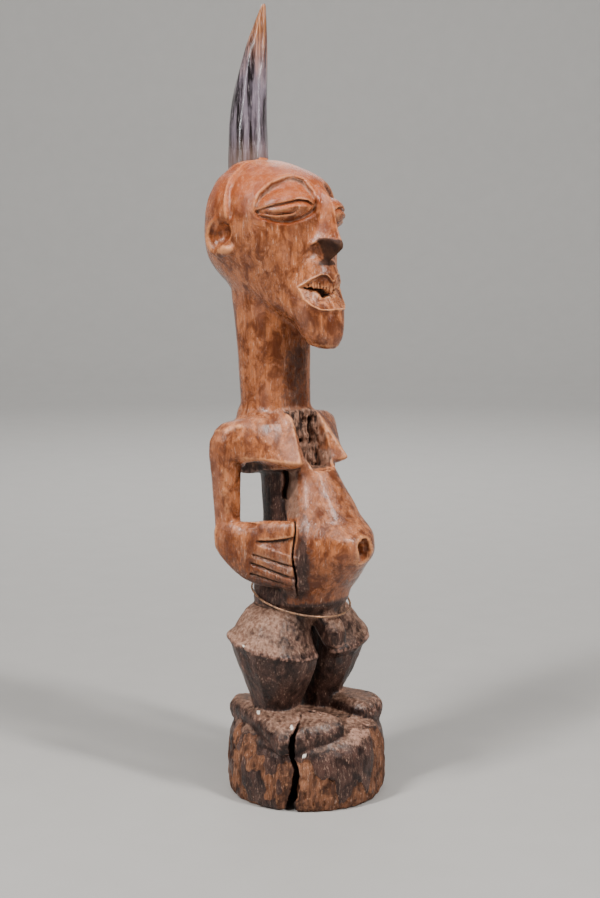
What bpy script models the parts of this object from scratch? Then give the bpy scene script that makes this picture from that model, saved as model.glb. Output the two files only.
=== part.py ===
"""Standing power figure of carved wood, with a horn set in its crown and a wire round its hips.

Metres, +Z up, the front along -Y. The origin is the centre of the base's underside.
"""
import bpy
import bmesh
from math import cos, pi, radians, sin, sqrt, tan
from mathutils import Vector

# Base drum
BASE_RADIUS = 0.0593
BASE_HEIGHT = 0.057
TOP_DROOP = 0.0095            # how far the top falls towards the near front edge
RIM_ROUND = 0.017             # how far in from the wall the top begins to round over
FOOT_OF_WALL_WEAR = 0.0028    # wear round the bottom edge
BASE_SINK = 0.006             # how deep the feet and ankles run into the base

# The figure is laid out on 409 parts, from the soles to the top of the head.
FIGURE_HEIGHT = 0.409
PART = FIGURE_HEIGHT / 409

# Horn and its hole in the crown
HORN_RADIUS = 0.0152
HORN_LENGTH = 0.114           # what stands clear of the head
HORN_SEAT = 0.014             # what is sunk into the head
SEAT_CLEARANCE = 0.0003
HORN_SETBACK = 0.0612         # from the base's axis back to the horn's
HORN_FORWARD_CURVE = 0.017    # how far the tip curves to the front
HORN_FACET = 0.025            # share of the radius by which its long facets stand out
CROWN_LIP = 0.003             # how far the head's top rises round the horn's foot

# Wire hoop round the hips
WIRE_THICKNESS = 0.0016
WIRE_CLEARANCE = 0.0004
HIP_RADIUS = 0.0352
HIP_SETBACK = 0.006
WIRE_SLOPE = radians(14.8)    # the hoop hangs lower at the front
WIRE_LEVEL = 89               # parts above the soles, at the hips' axis

# Splits in the wood
SPLIT_DEPTH = 0.027
SPLIT_WIDTH_LOW = 0.0042
SPLIT_WIDTH_HIGH = 0.0016
# Share of the base's height, direction in degrees, width
BASE_SPLIT = ((-0.035, 217, SPLIT_WIDTH_LOW), (0.246, 216.5, SPLIT_WIDTH_LOW * 0.9),
              (0.561, 218, SPLIT_WIDTH_LOW * 0.8), (0.772, 217, SPLIT_WIDTH_LOW * 0.9),
              (0.912, 217, SPLIT_WIDTH_HIGH * 1.3), (1.158, 214, SPLIT_WIDTH_HIGH))

# Sides of the rounded forms
FINE = 34
MEDIUM = 20
COARSE = 14


def clear_scene():
    for item in list(bpy.data.objects):
        bpy.data.objects.remove(item, do_unlink=True)


def make_material(name, colour, roughness, metallic=0.0):
    material = bpy.data.materials.new(name)
    material.use_nodes = True
    shader = material.node_tree.nodes["Principled BSDF"]
    shader.inputs["Base Color"].default_value = (*colour, 1.0)
    shader.inputs["Roughness"].default_value = roughness
    shader.inputs["Metallic"].default_value = metallic
    return material


def place(x, y, z):
    """A point of the figure, from parts to metres, with z above the soles."""
    return Vector((x * PART, y * PART, BASE_HEIGHT + z * PART))


def signed_power(value, exponent):
    return abs(value) ** exponent * (1 if value >= 0 else -1)


def ring(front, back, half, sides, front_power=2.0, back_power=2.0, centre_x=0.0):
    """Outline in plan between a front and a back, as (x, y) pairs; a higher power is squarer."""
    middle = (front + back) / 2
    depth = (back - front) / 2
    points = []
    for i in range(sides):
        angle = 2 * pi * i / sides
        power = back_power if sin(angle) > 0 else front_power
        x = centre_x + half * signed_power(cos(angle), 2 / power)
        y = middle + depth * signed_power(sin(angle), 2 / power)
        points.append((x, y))
    return points


def loft(name, rings):
    """A closed solid through rings of points, its ends closed round their middles."""
    bm = bmesh.new()
    loops = [[bm.verts.new(point) for point in points] for points in rings]
    for low, high in zip(loops, loops[1:]):
        for i in range(len(low)):
            j = (i + 1) % len(low)
            bm.faces.new((low[i], low[j], high[j], high[i]))
    for loop in (loops[0], loops[-1]):
        middle = bm.verts.new(sum((vert.co for vert in loop), Vector()) / len(loop))
        for i in range(len(loop)):
            bm.faces.new((loop[i], loop[(i + 1) % len(loop)], middle))
    return finish_mesh(name, bm)


def finish_mesh(name, bm):
    bmesh.ops.recalc_face_normals(bm, faces=bm.faces)
    mesh = bpy.data.meshes.new(name)
    bm.to_mesh(mesh)
    bm.free()
    return bpy.data.objects.new(name, mesh)


def stack(name, sections, sides):
    """A solid of level sections: height, front, back, half width, front power, back power."""
    rings = []
    for z, front, back, half, front_power, back_power in sections:
        outline = ring(front, back, half, sides, front_power, back_power)
        rings.append([place(x, y, z) for x, y in outline])
    return loft(name, rings)


def tube(name, path, radii, sides, normal, closed=False):
    """A round rod along a path that lies flat across the normal, thicker or thinner on its way."""
    count = len(path)
    rings = []
    for i, point in enumerate(path):
        before = path[(i - 1) % count] if closed or i else point
        after = path[(i + 1) % count] if closed or i < count - 1 else point
        along = (after - before).normalized()
        side = (normal - along * normal.dot(along)).normalized()
        other = along.cross(side)
        turns = [2 * pi * j / sides for j in range(sides)]
        rings.append([point + radii[i] * (side * cos(a) + other * sin(a)) for a in turns])
    if not closed:
        return loft(name, rings)
    bm = bmesh.new()
    loops = [[bm.verts.new(corner) for corner in points] for points in rings]
    for low, high in zip(loops, loops[1:] + loops[:1]):
        for i in range(sides):
            j = (i + 1) % sides
            bm.faces.new((low[i], low[j], high[j], high[i]))
    return finish_mesh(name, bm)


def groove(name, path, width, depth, outward):
    """A V-shaped cutter along a path on the surface, its point driven in against outward."""
    rings = []
    for i, point in enumerate(path):
        before = path[max(i - 1, 0)]
        after = path[min(i + 1, len(path) - 1)]
        along = (after - before).normalized()
        across = along.cross(outward).normalized() * width / 2
        rings.append([point + across + outward * depth * 0.5, point - across + outward * depth * 0.5,
                      point - outward * depth])
    return loft(name, rings)


# Base

def ground(x, y):
    """Height of the base's top, in metres, which droops towards the near front."""
    towards = max(0.0, -(x + y) / sqrt(2)) / BASE_RADIUS
    return BASE_HEIGHT - TOP_DROOP * towards ** 2


def make_base():
    profile = ((0.0, FOOT_OF_WALL_WEAR), (0.07, FOOT_OF_WALL_WEAR * 0.3), (0.22, 0.0),
               (0.52, RIM_ROUND * 0.02), (0.74, RIM_ROUND * 0.12), (0.88, RIM_ROUND * 0.3),
               (0.965, RIM_ROUND * 0.58), (1.0, RIM_ROUND), (1.02, RIM_ROUND * 2))
    rings = []
    for share, inset in profile:
        points = []
        for i in range(FINE):
            angle = 2 * pi * i / FINE
            hewn = 1 + 0.008 * sin(3 * angle + 0.6) + 0.005 * sin(7 * angle)
            radius = (BASE_RADIUS - inset) * hewn
            x = radius * cos(angle)
            y = radius * sin(angle)
            points.append(Vector((x, y, ground(x, y) * share)))
        rings.append(points)
    return loft("base_drum", rings)


# Feet and legs

FOOT_THICK = 11
NEAR_FOOT = ((-30, 50), (-38, 44), (-44, 24), (-50, 2), (-56, -20), (-56, -28), (-50, -33),
             (-36, -40), (-22, -46), (-10, -48), (-4, -42), (-5, -32), (-10, -14), (-11, 8),
             (-13, 32), (-20, 47))
FAR_FOOT = ((30, 50), (38, 44), (43, 24), (47, 2), (50, -16), (51, -27), (46, -35),
            (38, -41), (28, -43), (20, -40), (17, -32), (18, -22), (17, -10), (17, 8),
            (18, 32), (22, 46))
NEAR_TOES = (((-39, -40), (-34, -28)), ((-49, -34), (-43, -24)))
FAR_TOES = (((25, -44), (26, -31)), ((33, -43), (31, -30)), ((41, -38), (37, -27)),
            ((48, -31), (43, -22)))
TOE_GROOVE_WIDTH = 2.6
TOE_GROOVE_DEPTH = 5


def make_foot(name, outline):
    middle = Vector((sum(x for x, y in outline), sum(y for x, y in outline))) / len(outline)
    rings = []
    for lift, inset in ((-BASE_SINK / PART, 3), (0.5, 1.5), (3, 0), (6.5, 0.3),
                        (FOOT_THICK - 1.5, 2.2), (FOOT_THICK, 5)):
        points = []
        for x, y in outline:
            inward = (middle - Vector((x, y))).normalized() * inset
            px = (x + inward.x) * PART
            py = (y + inward.y) * PART
            points.append(Vector((px, py, ground(px, py) + lift * PART)))
        rings.append(points)
    return loft(name, rings)


def make_toe_grooves(name, lines):
    cutters = []
    for i, ends in enumerate(lines):
        path = []
        for x, y in ends:
            px = x * PART
            py = y * PART
            path.append(Vector((px, py, ground(px, py) + (FOOT_THICK - 1) * PART)))
        path[0] = path[0] + (path[0] - path[1]) * 0.4 - Vector((0, 0, 3 * PART))
        cutters.append(groove(f"{name}_{i}", path, TOE_GROOVE_WIDTH * PART, TOE_GROOVE_DEPTH * PART,
                              Vector((0, 0, 1))))
    return cutters


LEG_GAP = 13
KNEE_SLOPE_BACK = 0.19
KNEE_SLOPE_OUT = 0.12
# Height, distance from the middle, setback, radius, and how much of the knee's slope it takes
LEG_SECTIONS = ((-6, 23.5, 7.5, 16, 0), (6, 23.5, 7.5, 16.5, 0.1), (15, 24, 8, 18.6, 0.3),
                (30, 25, 6.8, 24.5, 0.6), (40, 26, 7, 28.2, 0.8), (50, 26.5, 7.2, 31.2, 1),
                (54, 27, 8, 33, 1), (57.5, 27, 8, 32.8, 1), (63, 26, 8, 29, 0.9), (70, 24, 9, 26.6, 0.6),
                (79.5, 18.5, 11, 24, 0.2), (85, 13, 10, 21.5, 0), (97, 11, 8, 20, 0))
FAR_CALF_SLIMMER = 2.2
KNEE_LEVEL = 54
CROTCH = 78


def make_leg(name, side):
    rings = []
    for z, out, setback, radius, slope in LEG_SECTIONS:
        if side > 0 and z < KNEE_LEVEL:
            radius -= FAR_CALF_SLIMMER
        points = []
        for x, y in ring(setback - radius, setback + radius, radius, MEDIUM, 2.15, 2.15, out):
            if z < CROTCH:
                x = max(x, LEG_GAP / 2)
            rise = slope * (KNEE_SLOPE_BACK * (y - setback) + KNEE_SLOPE_OUT * (x - out))
            points.append(place(side * x, y, z + rise))
        rings.append(points)
    return loft(name, rings)


# Hips, belly and back

HIPS = ((70, -12, 26, 18, 2, 2), (78, -21, 36, 26, 2, 2), (84, -26.5, 40, 32.4, 2, 2),
        (WIRE_LEVEL, (HIP_SETBACK - HIP_RADIUS) / PART, (HIP_SETBACK + HIP_RADIUS) / PART,
         HIP_RADIUS / PART, 2, 2),
        (98, -29, 40.5, 34, 2, 2), (108, -26, 40, 30, 2, 2), (118, -18, 39, 24, 2, 2))
LOIN_FLAP = ((53, -33, -23, 3.5, 3, 3), (56, -36, -20, 6, 3.6, 3), (66, -35.4, -14, 8, 3.2, 3),
             (74, -31.2, -8, 8.5, 3, 3), (77.5, -27.5, -6, 8.5, 2.6, 2), (88, -22, 0, 8, 2, 2))
BELLY = ((81, -13, 5, 16, 2, 2), (87, -24.3, 8, 26, 2, 2), (94.5, -29, 9, 31, 2, 2),
         (105, -38.5, 9, 34, 1.9, 2), (117, -50, 9, 34.5, 1.7, 2), (124, -57, 9, 34.6, 1.65, 2),
         (131, -60.5, 9, 34, 1.55, 2), (138, -58.5, 8.5, 33, 1.65, 2), (144.5, -51.5, 8, 31.5, 1.85, 2),
         (152, -43.2, 8, 28.5, 1.9, 2), (162, -36.5, 8, 25, 2, 2), (172, -30, 8, 21, 2, 2),
         (183, -23.5, 8, 17.5, 2, 2), (196, -14, 8, 15, 2, 2))
COLUMN = ((96, -6, 38, 30, 2, 2), (110, -5, 38.5, 25, 2, 2), (128, -3.5, 39.5, 19.5, 2, 2),
          (150, -2, 40.5, 17, 2, 2), (175, -2, 43, 17, 2, 2), (195, -3, 52, 19, 2, 2),
          (206, -4, 56, 22, 2, 2))
NAVEL_WIDE = 14.5
NAVEL_TALL = 20
NAVEL_DEEP = 9
NAVEL_LEVEL = 131


def make_navel():
    """The hollow at the belly's tip: an upright oval bowl."""
    rings = []
    for i in range(7):
        share = i / 6
        y = -66 + share * (8 + NAVEL_DEEP)
        size = 1.25 if i == 0 else sqrt(max(0.06, 1 - share ** 2.4))
        points = []
        for j in range(COARSE):
            angle = 2 * pi * j / COARSE
            points.append(place(NAVEL_WIDE / 2 * size * cos(angle), y,
                                NAVEL_LEVEL + NAVEL_TALL / 2 * size * sin(angle) + share * 2))
        rings.append(points)
    return loft("navel_hollow", rings)


# Chest, arms and hands

SHOULDER_HALF = 57.5
SHOULDER_SETBACK = 33
CAVITY_HALF = 14
CHEST_TOP = 226
CHEST_BOTTOM = 188
TIP_OUT = 25
TIP_FORWARD = 19.5
# Height, breast tip's distance from the middle and its y, how far the middle lies behind the tips,
# shoulder's half width and half depth, how far the level rises out to the shoulder, and the spine's y
CHEST_LEVELS = ((182, 15, 6, 0, SHOULDER_HALF - 15.5, 6, 4, 44),
                (186, 23, -10, 8, SHOULDER_HALF - 4.5, 11, 7, 50),
                (CHEST_BOTTOM, TIP_OUT, -TIP_FORWARD, 9, SHOULDER_HALF - 0.5, 13, 7.5, 53),
                (198, 22.5, -15, 8, SHOULDER_HALF, 14, 4, 58), (210, 19, -8, 5, SHOULDER_HALF, 14, 0, 61),
                (220, 16, -1.5, 2, SHOULDER_HALF - 2, 12.5, -4, 61),
                (CHEST_TOP, CAVITY_HALF, 3.5, 0.5, SHOULDER_HALF - 7, 9, -7, 58))


def make_chest():
    rings = []
    for z, tip_x, tip_y, notch, half, deep, rise, spine in CHEST_LEVELS:
        back = SHOULDER_SETBACK
        blade = (back + deep + spine) / 2 + 1
        right = [(CAVITY_HALF * 0.8, tip_y + notch), (tip_x, tip_y), (tip_x + 5, tip_y + 7),
                 (half * 0.72, (tip_y + back - deep) / 2 + 4), (half * 0.9, back - deep),
                 (half, back - deep * 0.5), (half + 1.5, back), (half, back + deep * 0.5),
                 (half * 0.9, back + deep * 0.9), (half * 0.62, blade), (half * 0.33, spine - 0.5)]
        left = [(-x, y) for x, y in reversed(right)]
        outline = [(0, tip_y + notch + 1)] + right + [(0, spine)] + left
        rings.append([place(x, y, z + rise * (x / half) ** 2) for x, y in outline])
    return loft("chest", rings)


# Height, how far in from the shoulder's side, setback, half thickness
UPPER_ARM = ((120, 9, 33, 7.4), (130, 9, 33, 7.7), (150, 8.5, 33, 8.3), (175, 7.7, 33.2, 9.3),
             (195, 7.5, 33.6, 10.2), (206, 8.5, 33.6, 10), (212, 11.5, 33.6, 8))
ELBOW = (SHOULDER_HALF - 5, SHOULDER_SETBACK + 0.5)
FINGERTIPS = (33.5, -21)
# Share of the way to the fingertips, underside, top, half thickness
FOREARM = ((-0.10, 132, 140, 4), (-0.06, 126, 146, 7), (0.05, 119, 147.5, 8.3), (0.2, 111.5, 148, 8.4),
           (0.4, 105.5, 149, 8), (0.6, 103, 150.5, 7.4), (0.85, 102.5, 151.5, 7), (0.97, 103.5, 151, 6),
           (1.03, 106, 149, 4))
FINGER_GROOVE_WIDTH = 2.4
FINGER_GROOVE_DEPTH = 2.2


def forearm_point(side, share, off, z):
    """A point in the forearm, by its share of the way forward and how far it stands out."""
    along = Vector((FINGERTIPS[0] - ELBOW[0], FINGERTIPS[1] - ELBOW[1]))
    outward = Vector((-along.y, along.x)).normalized()
    x = ELBOW[0] + along.x * share + outward.x * off
    y = ELBOW[1] + along.y * share + outward.y * off
    return place(side * x, y, z)


def outward_of_hand(side):
    return (forearm_point(side, 0.8, 1, 120) - forearm_point(side, 0.8, 0, 120)).normalized()


def make_upper_arm(name, side):
    rings = []
    for z, inset, setback, half in UPPER_ARM:
        outline = ring(setback - half, setback + half, half, COARSE, 3, 3, SHOULDER_HALF - inset)
        rings.append([place(side * x, y, z) for x, y in outline])
    return loft(name, rings)


def make_forearm(name, side):
    rings = []
    for share, low, high, half in FOREARM:
        points = []
        for off, z in ring(low, high, half, COARSE, 3.2, 3.2):
            points.append(forearm_point(side, share, off, z))
        rings.append(points)
    return loft(name, rings)


def make_finger_grooves(name, side):
    """Three cuts that part the fingers, and the hollow under the thumb."""
    outward = outward_of_hand(side)
    cutters = []
    for i, (from_z, to_z) in enumerate(((125.5, 124), (118.5, 114.5), (110.5, 107))):
        path = []
        for j in range(6):
            z = from_z + (to_z - from_z) * j / 5
            path.append(forearm_point(side, 0.6 - 0.04 * i + 0.1 * j, 7.2 - 0.12 * j, z))
        cutters.append(groove(f"{name}_{i}", path, FINGER_GROOVE_WIDTH * PART,
                              FINGER_GROOVE_DEPTH * PART, outward))
    path = [forearm_point(side, 0.63 + 0.08 * j, 7.2 - 0.1 * j, 139 + 2.2 * (j / 4) ** 2) for j in range(6)]
    cutters.append(groove(f"{name}_thumb", path, 6.5 * PART, 2.6 * PART, outward))
    return cutters


def make_cavity():
    """The eaten-out channel between the breasts, rough, with a deeper slot on its far side."""
    rings = []
    low = CHEST_BOTTOM - 4
    for i in range(8):
        z = low + (CHEST_TOP + 3 - low) * i / 7
        ragged = 1.5 * sin(2.1 * i) + 1.0 * sin(4.7 * i + 1)
        half = CAVITY_HALF - 1 + 0.5 * ragged
        back = 0.5 + 0.9 * ragged + 5 * i / 7
        outline = [(-half, -40), (half, -40), (half, back - 4), (half - 4, back + 3), (4, back),
                   (-3, back - 5), (-7, back - 2), (-half, back - 5)]
        rings.append([place(x, y, z) for x, y in outline])
    return loft("chest_cavity", rings)


# Neck and head

NECK = ((214, 5.3, 63, 30, 2, 2), (225, 7.4, 61.5, 27.5, 2.2, 2), (231, 8.8, 59.8, 25.2, 2.3, 2),
        (262, 9.5, 62, 25.6, 2.3, 2), (291, 9.3, 64.5, 26.8, 2.2, 2), (318, 8, 68, 28, 2, 2),
        (330, 8, 68, 28, 2, 2))
HEAD = ((273.5, -26, -13, 5, 2.2, 2), (276, -28.5, -6, 9.5, 2.2, 2), (283, -30.6, 1, 14, 2.2, 2),
        (292, -30.4, 10, 18, 2.1, 2), (304, -27.6, 34, 25.5, 2, 2), (312, -25, 56, 29, 2, 2),
        (317, -23.6, 69, 31.5, 2, 2), (323, -21, 78, 34.5, 2, 2), (334, -17.5, 87, 40, 2, 2),
        (343, -16, 89.5, 43.5, 2, 2), (354, -16, 90.5, 45.5, 2, 2), (368, -17, 89.5, 45.8, 2, 2),
        (379.6, -15.5, 87, 44, 2, 2), (388, -9.5, 82.5, 40, 2, 2), (394, -3.5, 78.5, 36, 2, 2),
        (400, 7, 73, 28, 2, 2), (405, 21, 69, 20, 2, 2), (408, 34, 66, 12, 2, 2),
        (409, 44, 62, 5, 2, 2))
NOSE = ((331, -17, 0, 6, 1.6, 2), (334.5, -22, 4, 9, 1.6, 2), (343.5, -34.5, 6, 12.5, 1.35, 2),
        (347, -35.5, 6, 12.5, 1.3, 2), (353, -32.5, 6, 10.5, 1.3, 2), (361, -29.5, 6, 8.5, 1.3, 2),
        (373, -27, 6, 6.5, 1.3, 2), (380, -23, 6, 5.5, 1.3, 2), (388, -12, 6, 4, 1.5, 2))
MUZZLE = ((288, -27.4, 4, 10, 2.2, 2), (297, -28.6, 4, 14.5, 2.2, 2), (301.5, -29.6, 4, 17.4, 2.2, 2),
          (305, -28.4, 4, 19.4, 2.1, 2), (311, -27, 4, 19, 2, 2), (319, -26.4, 4, 18, 2, 2),
          (325, -25.6, 4, 15.8, 2, 2), (330, -24, 4, 15.3, 2, 2), (335, -21.6, 4, 14, 2, 2),
          (341, -15, 4, 8, 2, 2))
SOCKET_DEPTH = 4
SOCKET_ACROSS = -15.5         # parts from the axis, seen square on to the eye
SOCKET_LEVEL = 369.5
SOCKET_HALF = 23.5
SOCKET_RISE = 26.5
SOCKET_FALL = 6.5
EYELID_OUT = 15.5             # from the axis to the lid's middle
EYELID_DEEP = 13.5
EYELID_TALL = 10.5
EYE_SLIT_TALL = 1.7
MOUTH_LEVEL = 315.5
EYE_TURN = radians(45)


def make_head(name, inset):
    sections = [(z - inset if z > 390 else z, front + inset, back - inset, max(half - inset, 1), fp, bp)
                for z, front, back, half, fp, bp in HEAD]
    return stack(name, sections, FINE)


def eye_frame(side):
    """Directions across and out of an eye, which looks half sideways."""
    outward = Vector((side * sin(EYE_TURN), -cos(EYE_TURN), 0))
    across = Vector((-side * cos(EYE_TURN), -sin(EYE_TURN), 0))
    return across, outward


def eye_point(side, along, out, z):
    across, outward = eye_frame(side)
    centre = place(0, 0, z)
    return centre + (across * along + outward * out) * PART


def make_socket(name, side, inner_head):
    """The brow's arch driven into the face, down to an even depth below the head's surface."""
    outline = []
    for i in range(MEDIUM):
        angle = 2 * pi * i / MEDIUM
        height = SOCKET_RISE if sin(angle) > 0 else SOCKET_FALL
        outline.append((SOCKET_ACROSS + SOCKET_HALF * cos(angle), SOCKET_LEVEL + height * sin(angle)))
    rings = [[eye_point(side, along, out, z) for along, z in outline] for out in (0, 70)]
    socket = loft(name, rings)
    return cut(socket, [inner_head])


def ellipsoid(name, centre, axes, sides=COARSE, levels=10):
    """An egg-round solid from its centre and its three half axes, given as vectors."""
    first, second, third = axes
    rings = []
    for i in range(1, levels):
        rise = -pi / 2 + pi * i / levels
        points = []
        for j in range(sides):
            angle = 2 * pi * j / sides
            points.append(centre + first * (cos(rise) * cos(angle)) + second * (cos(rise) * sin(angle))
                          + third * sin(rise))
        rings.append(points)
    return loft(name, rings)


def make_eyelid(name, side):
    across, outward = eye_frame(side)
    centre = eye_point(side, SOCKET_ACROSS - 0.5, EYELID_OUT, SOCKET_LEVEL + 3.5)
    tilt = across * (SOCKET_HALF - 2.5) * PART + Vector((0, 0, 2 * PART))
    return ellipsoid(name, centre, (tilt, outward * EYELID_DEEP * PART, Vector((0, 0, EYELID_TALL * PART))))


def make_eye_slit(name, side):
    across, outward = eye_frame(side)
    centre = eye_point(side, SOCKET_ACROSS - 1, EYELID_OUT + 10, SOCKET_LEVEL + 4.5)
    tilt = across * (SOCKET_HALF - 4.5) * PART + Vector((0, 0, 2 * PART))
    deep = outward * EYELID_DEEP * 0.52 * PART
    return ellipsoid(name, centre, (tilt, deep, Vector((0, 0, EYE_SLIT_TALL * PART))), COARSE, 6)


EAR_OUT = 43.5
EAR_SETBACK = 41
EAR_LEVEL = 353
EAR_HALF_WIDE = 11
EAR_HALF_TALL = 12.5
EAR_STEPS = 8


def make_ear(name, side):
    """A C-shaped rim, open to the front, that ends below in a thicker lobe."""
    path = []
    radii = []
    for i in range(EAR_STEPS + 1):
        share = i / EAR_STEPS
        angle = radians(20 + 245 * share)
        path.append(place(side * (EAR_OUT + 1.5 * sin(pi * share)),
                          EAR_SETBACK - EAR_HALF_WIDE * cos(angle), EAR_LEVEL + EAR_HALF_TALL * sin(angle)))
        radii.append((2.6 + 1.9 * share ** 2) * PART)
    return tube(name, path, radii, 8, Vector((1, 0, 0)))


def make_mouth_slit():
    rings = []
    for y, half, tall in ((-44, 24, 3.2), (-30, 22, 2.6), (-22, 20, 2.2), (-15, 12, 1.2)):
        points = []
        for i in range(COARSE):
            angle = 2 * pi * i / COARSE
            points.append(place(half * cos(angle), y + 0.012 * (half * cos(angle)) ** 2,
                                MOUTH_LEVEL + tall / 2 * sin(angle)))
        rings.append(points)
    return loft("mouth_slit", rings)


# Horn and wire

def horn_centre(share):
    """The horn's middle line, with share running from the crown to the tip."""
    z = BASE_HEIGHT + FIGURE_HEIGHT - CROWN_LIP + HORN_LENGTH * share
    forward = HORN_FORWARD_CURVE * max(0.0, share - 0.25) ** 1.4 / 0.75 ** 1.4
    return Vector((0, HORN_SETBACK - forward, z))


def horn_radius(share):
    if share < 0:
        return HORN_RADIUS
    return HORN_RADIUS * max(0.13, 1 - 0.12 * share - 0.80 * share ** 2.4)


def horn_ring(centre, radius, facet):
    points = []
    for i in range(MEDIUM):
        angle = 2 * pi * i / MEDIUM
        reach = radius * (1 + facet * cos(5 * angle + 0.8))
        points.append(centre + Vector((reach * cos(angle), reach * sin(angle), 0)))
    return points


def make_horn():
    rings = [horn_ring(horn_centre(-HORN_SEAT / HORN_LENGTH), HORN_RADIUS * 0.97, 0)]
    shares = [-0.05, 0.0, 0.1, 0.25, 0.4, 0.55, 0.68, 0.78, 0.87, 0.94, 1.0]
    for share in shares:
        rings.append(horn_ring(horn_centre(share), horn_radius(share), HORN_FACET if share > 0 else 0))
    return loft("horn", rings)


def make_horn_seat():
    """The hole in the crown, wider than the horn by its clearance all round."""
    bottom = horn_centre(-HORN_SEAT / HORN_LENGTH) - Vector((0, 0, SEAT_CLEARANCE))
    top = horn_centre(0.12)
    radius = HORN_RADIUS * (1 + HORN_FACET * 1.2) + SEAT_CLEARANCE
    return loft("horn_seat", [horn_ring(bottom, radius, 0), horn_ring(top, radius, 0)])


def make_wire():
    reach = HIP_RADIUS + WIRE_CLEARANCE + WIRE_THICKNESS / 2
    path = []
    for i in range(FINE):
        angle = 2 * pi * i / FINE
        x = reach * cos(angle)
        y = reach * sin(angle) * 1.01
        path.append(Vector((x, HIP_SETBACK + y, BASE_HEIGHT + WIRE_LEVEL * PART + y * tan(WIRE_SLOPE))))
    return tube("waist_wire", path, [WIRE_THICKNESS / 2] * FINE, 6, Vector((0, 0, 1)), closed=True)


# Splits

def make_base_split():
    """The radial split from the base's foot up through the near foot's toes."""
    rings = []
    for share, angle, width in BASE_SPLIT:
        direction = Vector((cos(radians(angle)), sin(radians(angle)), 0))
        sideways = Vector((-direction.y, direction.x, 0)) * width / 2
        outer = direction * BASE_RADIUS * 1.135
        inner = direction * (BASE_RADIUS - SPLIT_DEPTH)
        lift = Vector((0, 0, BASE_HEIGHT * share))
        rings.append([outer + sideways * 1.3 + lift, inner + sideways * 0.3 + lift,
                      inner - sideways * 0.3 + lift, outer - sideways * 1.3 + lift])
    return loft("base_split", rings)


# Joining and cutting

def shape_with(item, tools, operation):
    """Join other solids to an item, or cut them out of it, one after another."""
    for tool in tools:
        bpy.context.scene.collection.objects.link(tool)
        tool.hide_render = True
        tool.display_type = "WIRE"
        modifier = item.modifiers.new(tool.name, "BOOLEAN")
        modifier.operation = operation
        modifier.solver = "EXACT"
        modifier.object = tool
    return item


def cut(item, cutters):
    return shape_with(item, cutters, "DIFFERENCE")


def join(item, others):
    return shape_with(item, others, "UNION")


def finish(item, name, material):
    item.name = name
    item.data.materials.append(material)
    item.data.shade_smooth()
    item.data.set_sharp_from_angle(angle=radians(40))
    bpy.context.scene.collection.objects.link(item)


def main():
    clear_scene()
    wood = make_material("carved_wood", (0.27, 0.085, 0.035), 0.42)
    keratin = make_material("horn", (0.035, 0.03, 0.033), 0.3)
    copper = make_material("copper_wire", (0.45, 0.27, 0.15), 0.35, 1.0)

    forms = [make_foot("near_foot", NEAR_FOOT), make_foot("far_foot", FAR_FOOT),
             stack("hips", HIPS, MEDIUM), stack("loin_flap", LOIN_FLAP, COARSE),
             stack("belly", BELLY, MEDIUM), stack("column", COLUMN, MEDIUM), make_chest(),
             stack("neck", NECK, MEDIUM), stack("nose", NOSE, COARSE),
             stack("muzzle", MUZZLE, MEDIUM)]
    cutters = [make_navel(), make_cavity(), make_mouth_slit(), make_horn_seat(), make_base_split()]
    cutters += make_toe_grooves("near_toe_groove", NEAR_TOES)
    cutters += make_toe_grooves("far_toe_groove", FAR_TOES)

    head = make_head("head", 0)
    sockets = []
    for label, side in (("near", -1), ("far", 1)):
        inner_head = make_head(f"{label}_socket_floor", SOCKET_DEPTH)
        sockets.append(make_socket(f"{label}_eye_socket", side, inner_head))
        forms += [make_leg(f"{label}_leg", side), make_upper_arm(f"{label}_upper_arm", side),
                  make_forearm(f"{label}_forearm", side), make_eyelid(f"{label}_eyelid", side),
                  make_ear(f"{label}_ear", side)]
        cutters += make_finger_grooves(f"{label}_finger_groove", side)
        cutters.append(make_eye_slit(f"{label}_eye_slit", side))
    forms.append(cut(head, sockets))

    figure = cut(join(make_base(), forms), cutters)
    finish(figure, "figure", wood)
    finish(make_horn(), "horn", keratin)
    finish(make_wire(), "waist_wire", copper)


main()
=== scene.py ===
"""Looks of the standing power figure: its worn wood, with shade and highlights painted on in places, the
horn in its crown, the wire at its hips.
"""
from itertools import product
from math import cos, pi, radians, sin, tan

import bpy
import numpy as np
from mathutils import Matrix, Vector


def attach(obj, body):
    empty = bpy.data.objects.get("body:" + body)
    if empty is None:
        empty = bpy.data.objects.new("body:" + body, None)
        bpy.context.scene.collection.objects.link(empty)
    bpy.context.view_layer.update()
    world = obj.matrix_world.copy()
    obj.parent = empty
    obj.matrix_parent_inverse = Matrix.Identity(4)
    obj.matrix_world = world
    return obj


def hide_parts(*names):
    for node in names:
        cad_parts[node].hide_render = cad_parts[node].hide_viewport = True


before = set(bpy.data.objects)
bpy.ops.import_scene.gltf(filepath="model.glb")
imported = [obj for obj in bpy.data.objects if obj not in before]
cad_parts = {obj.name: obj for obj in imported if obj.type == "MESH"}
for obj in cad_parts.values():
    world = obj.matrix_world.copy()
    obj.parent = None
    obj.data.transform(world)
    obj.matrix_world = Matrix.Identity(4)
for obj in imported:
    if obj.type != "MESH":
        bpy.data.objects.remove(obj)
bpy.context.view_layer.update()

MM = 0.001
SOLES = 57.0                  # mm from the floor to the soles: the height of the base drum
FAR_AWAY = 20.0               # distance kept in the block of points where no form is near
STEP_SHARE = 1.0
MOST_TRIANGLES = 195000


# Curves, noise and soft joins

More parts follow.
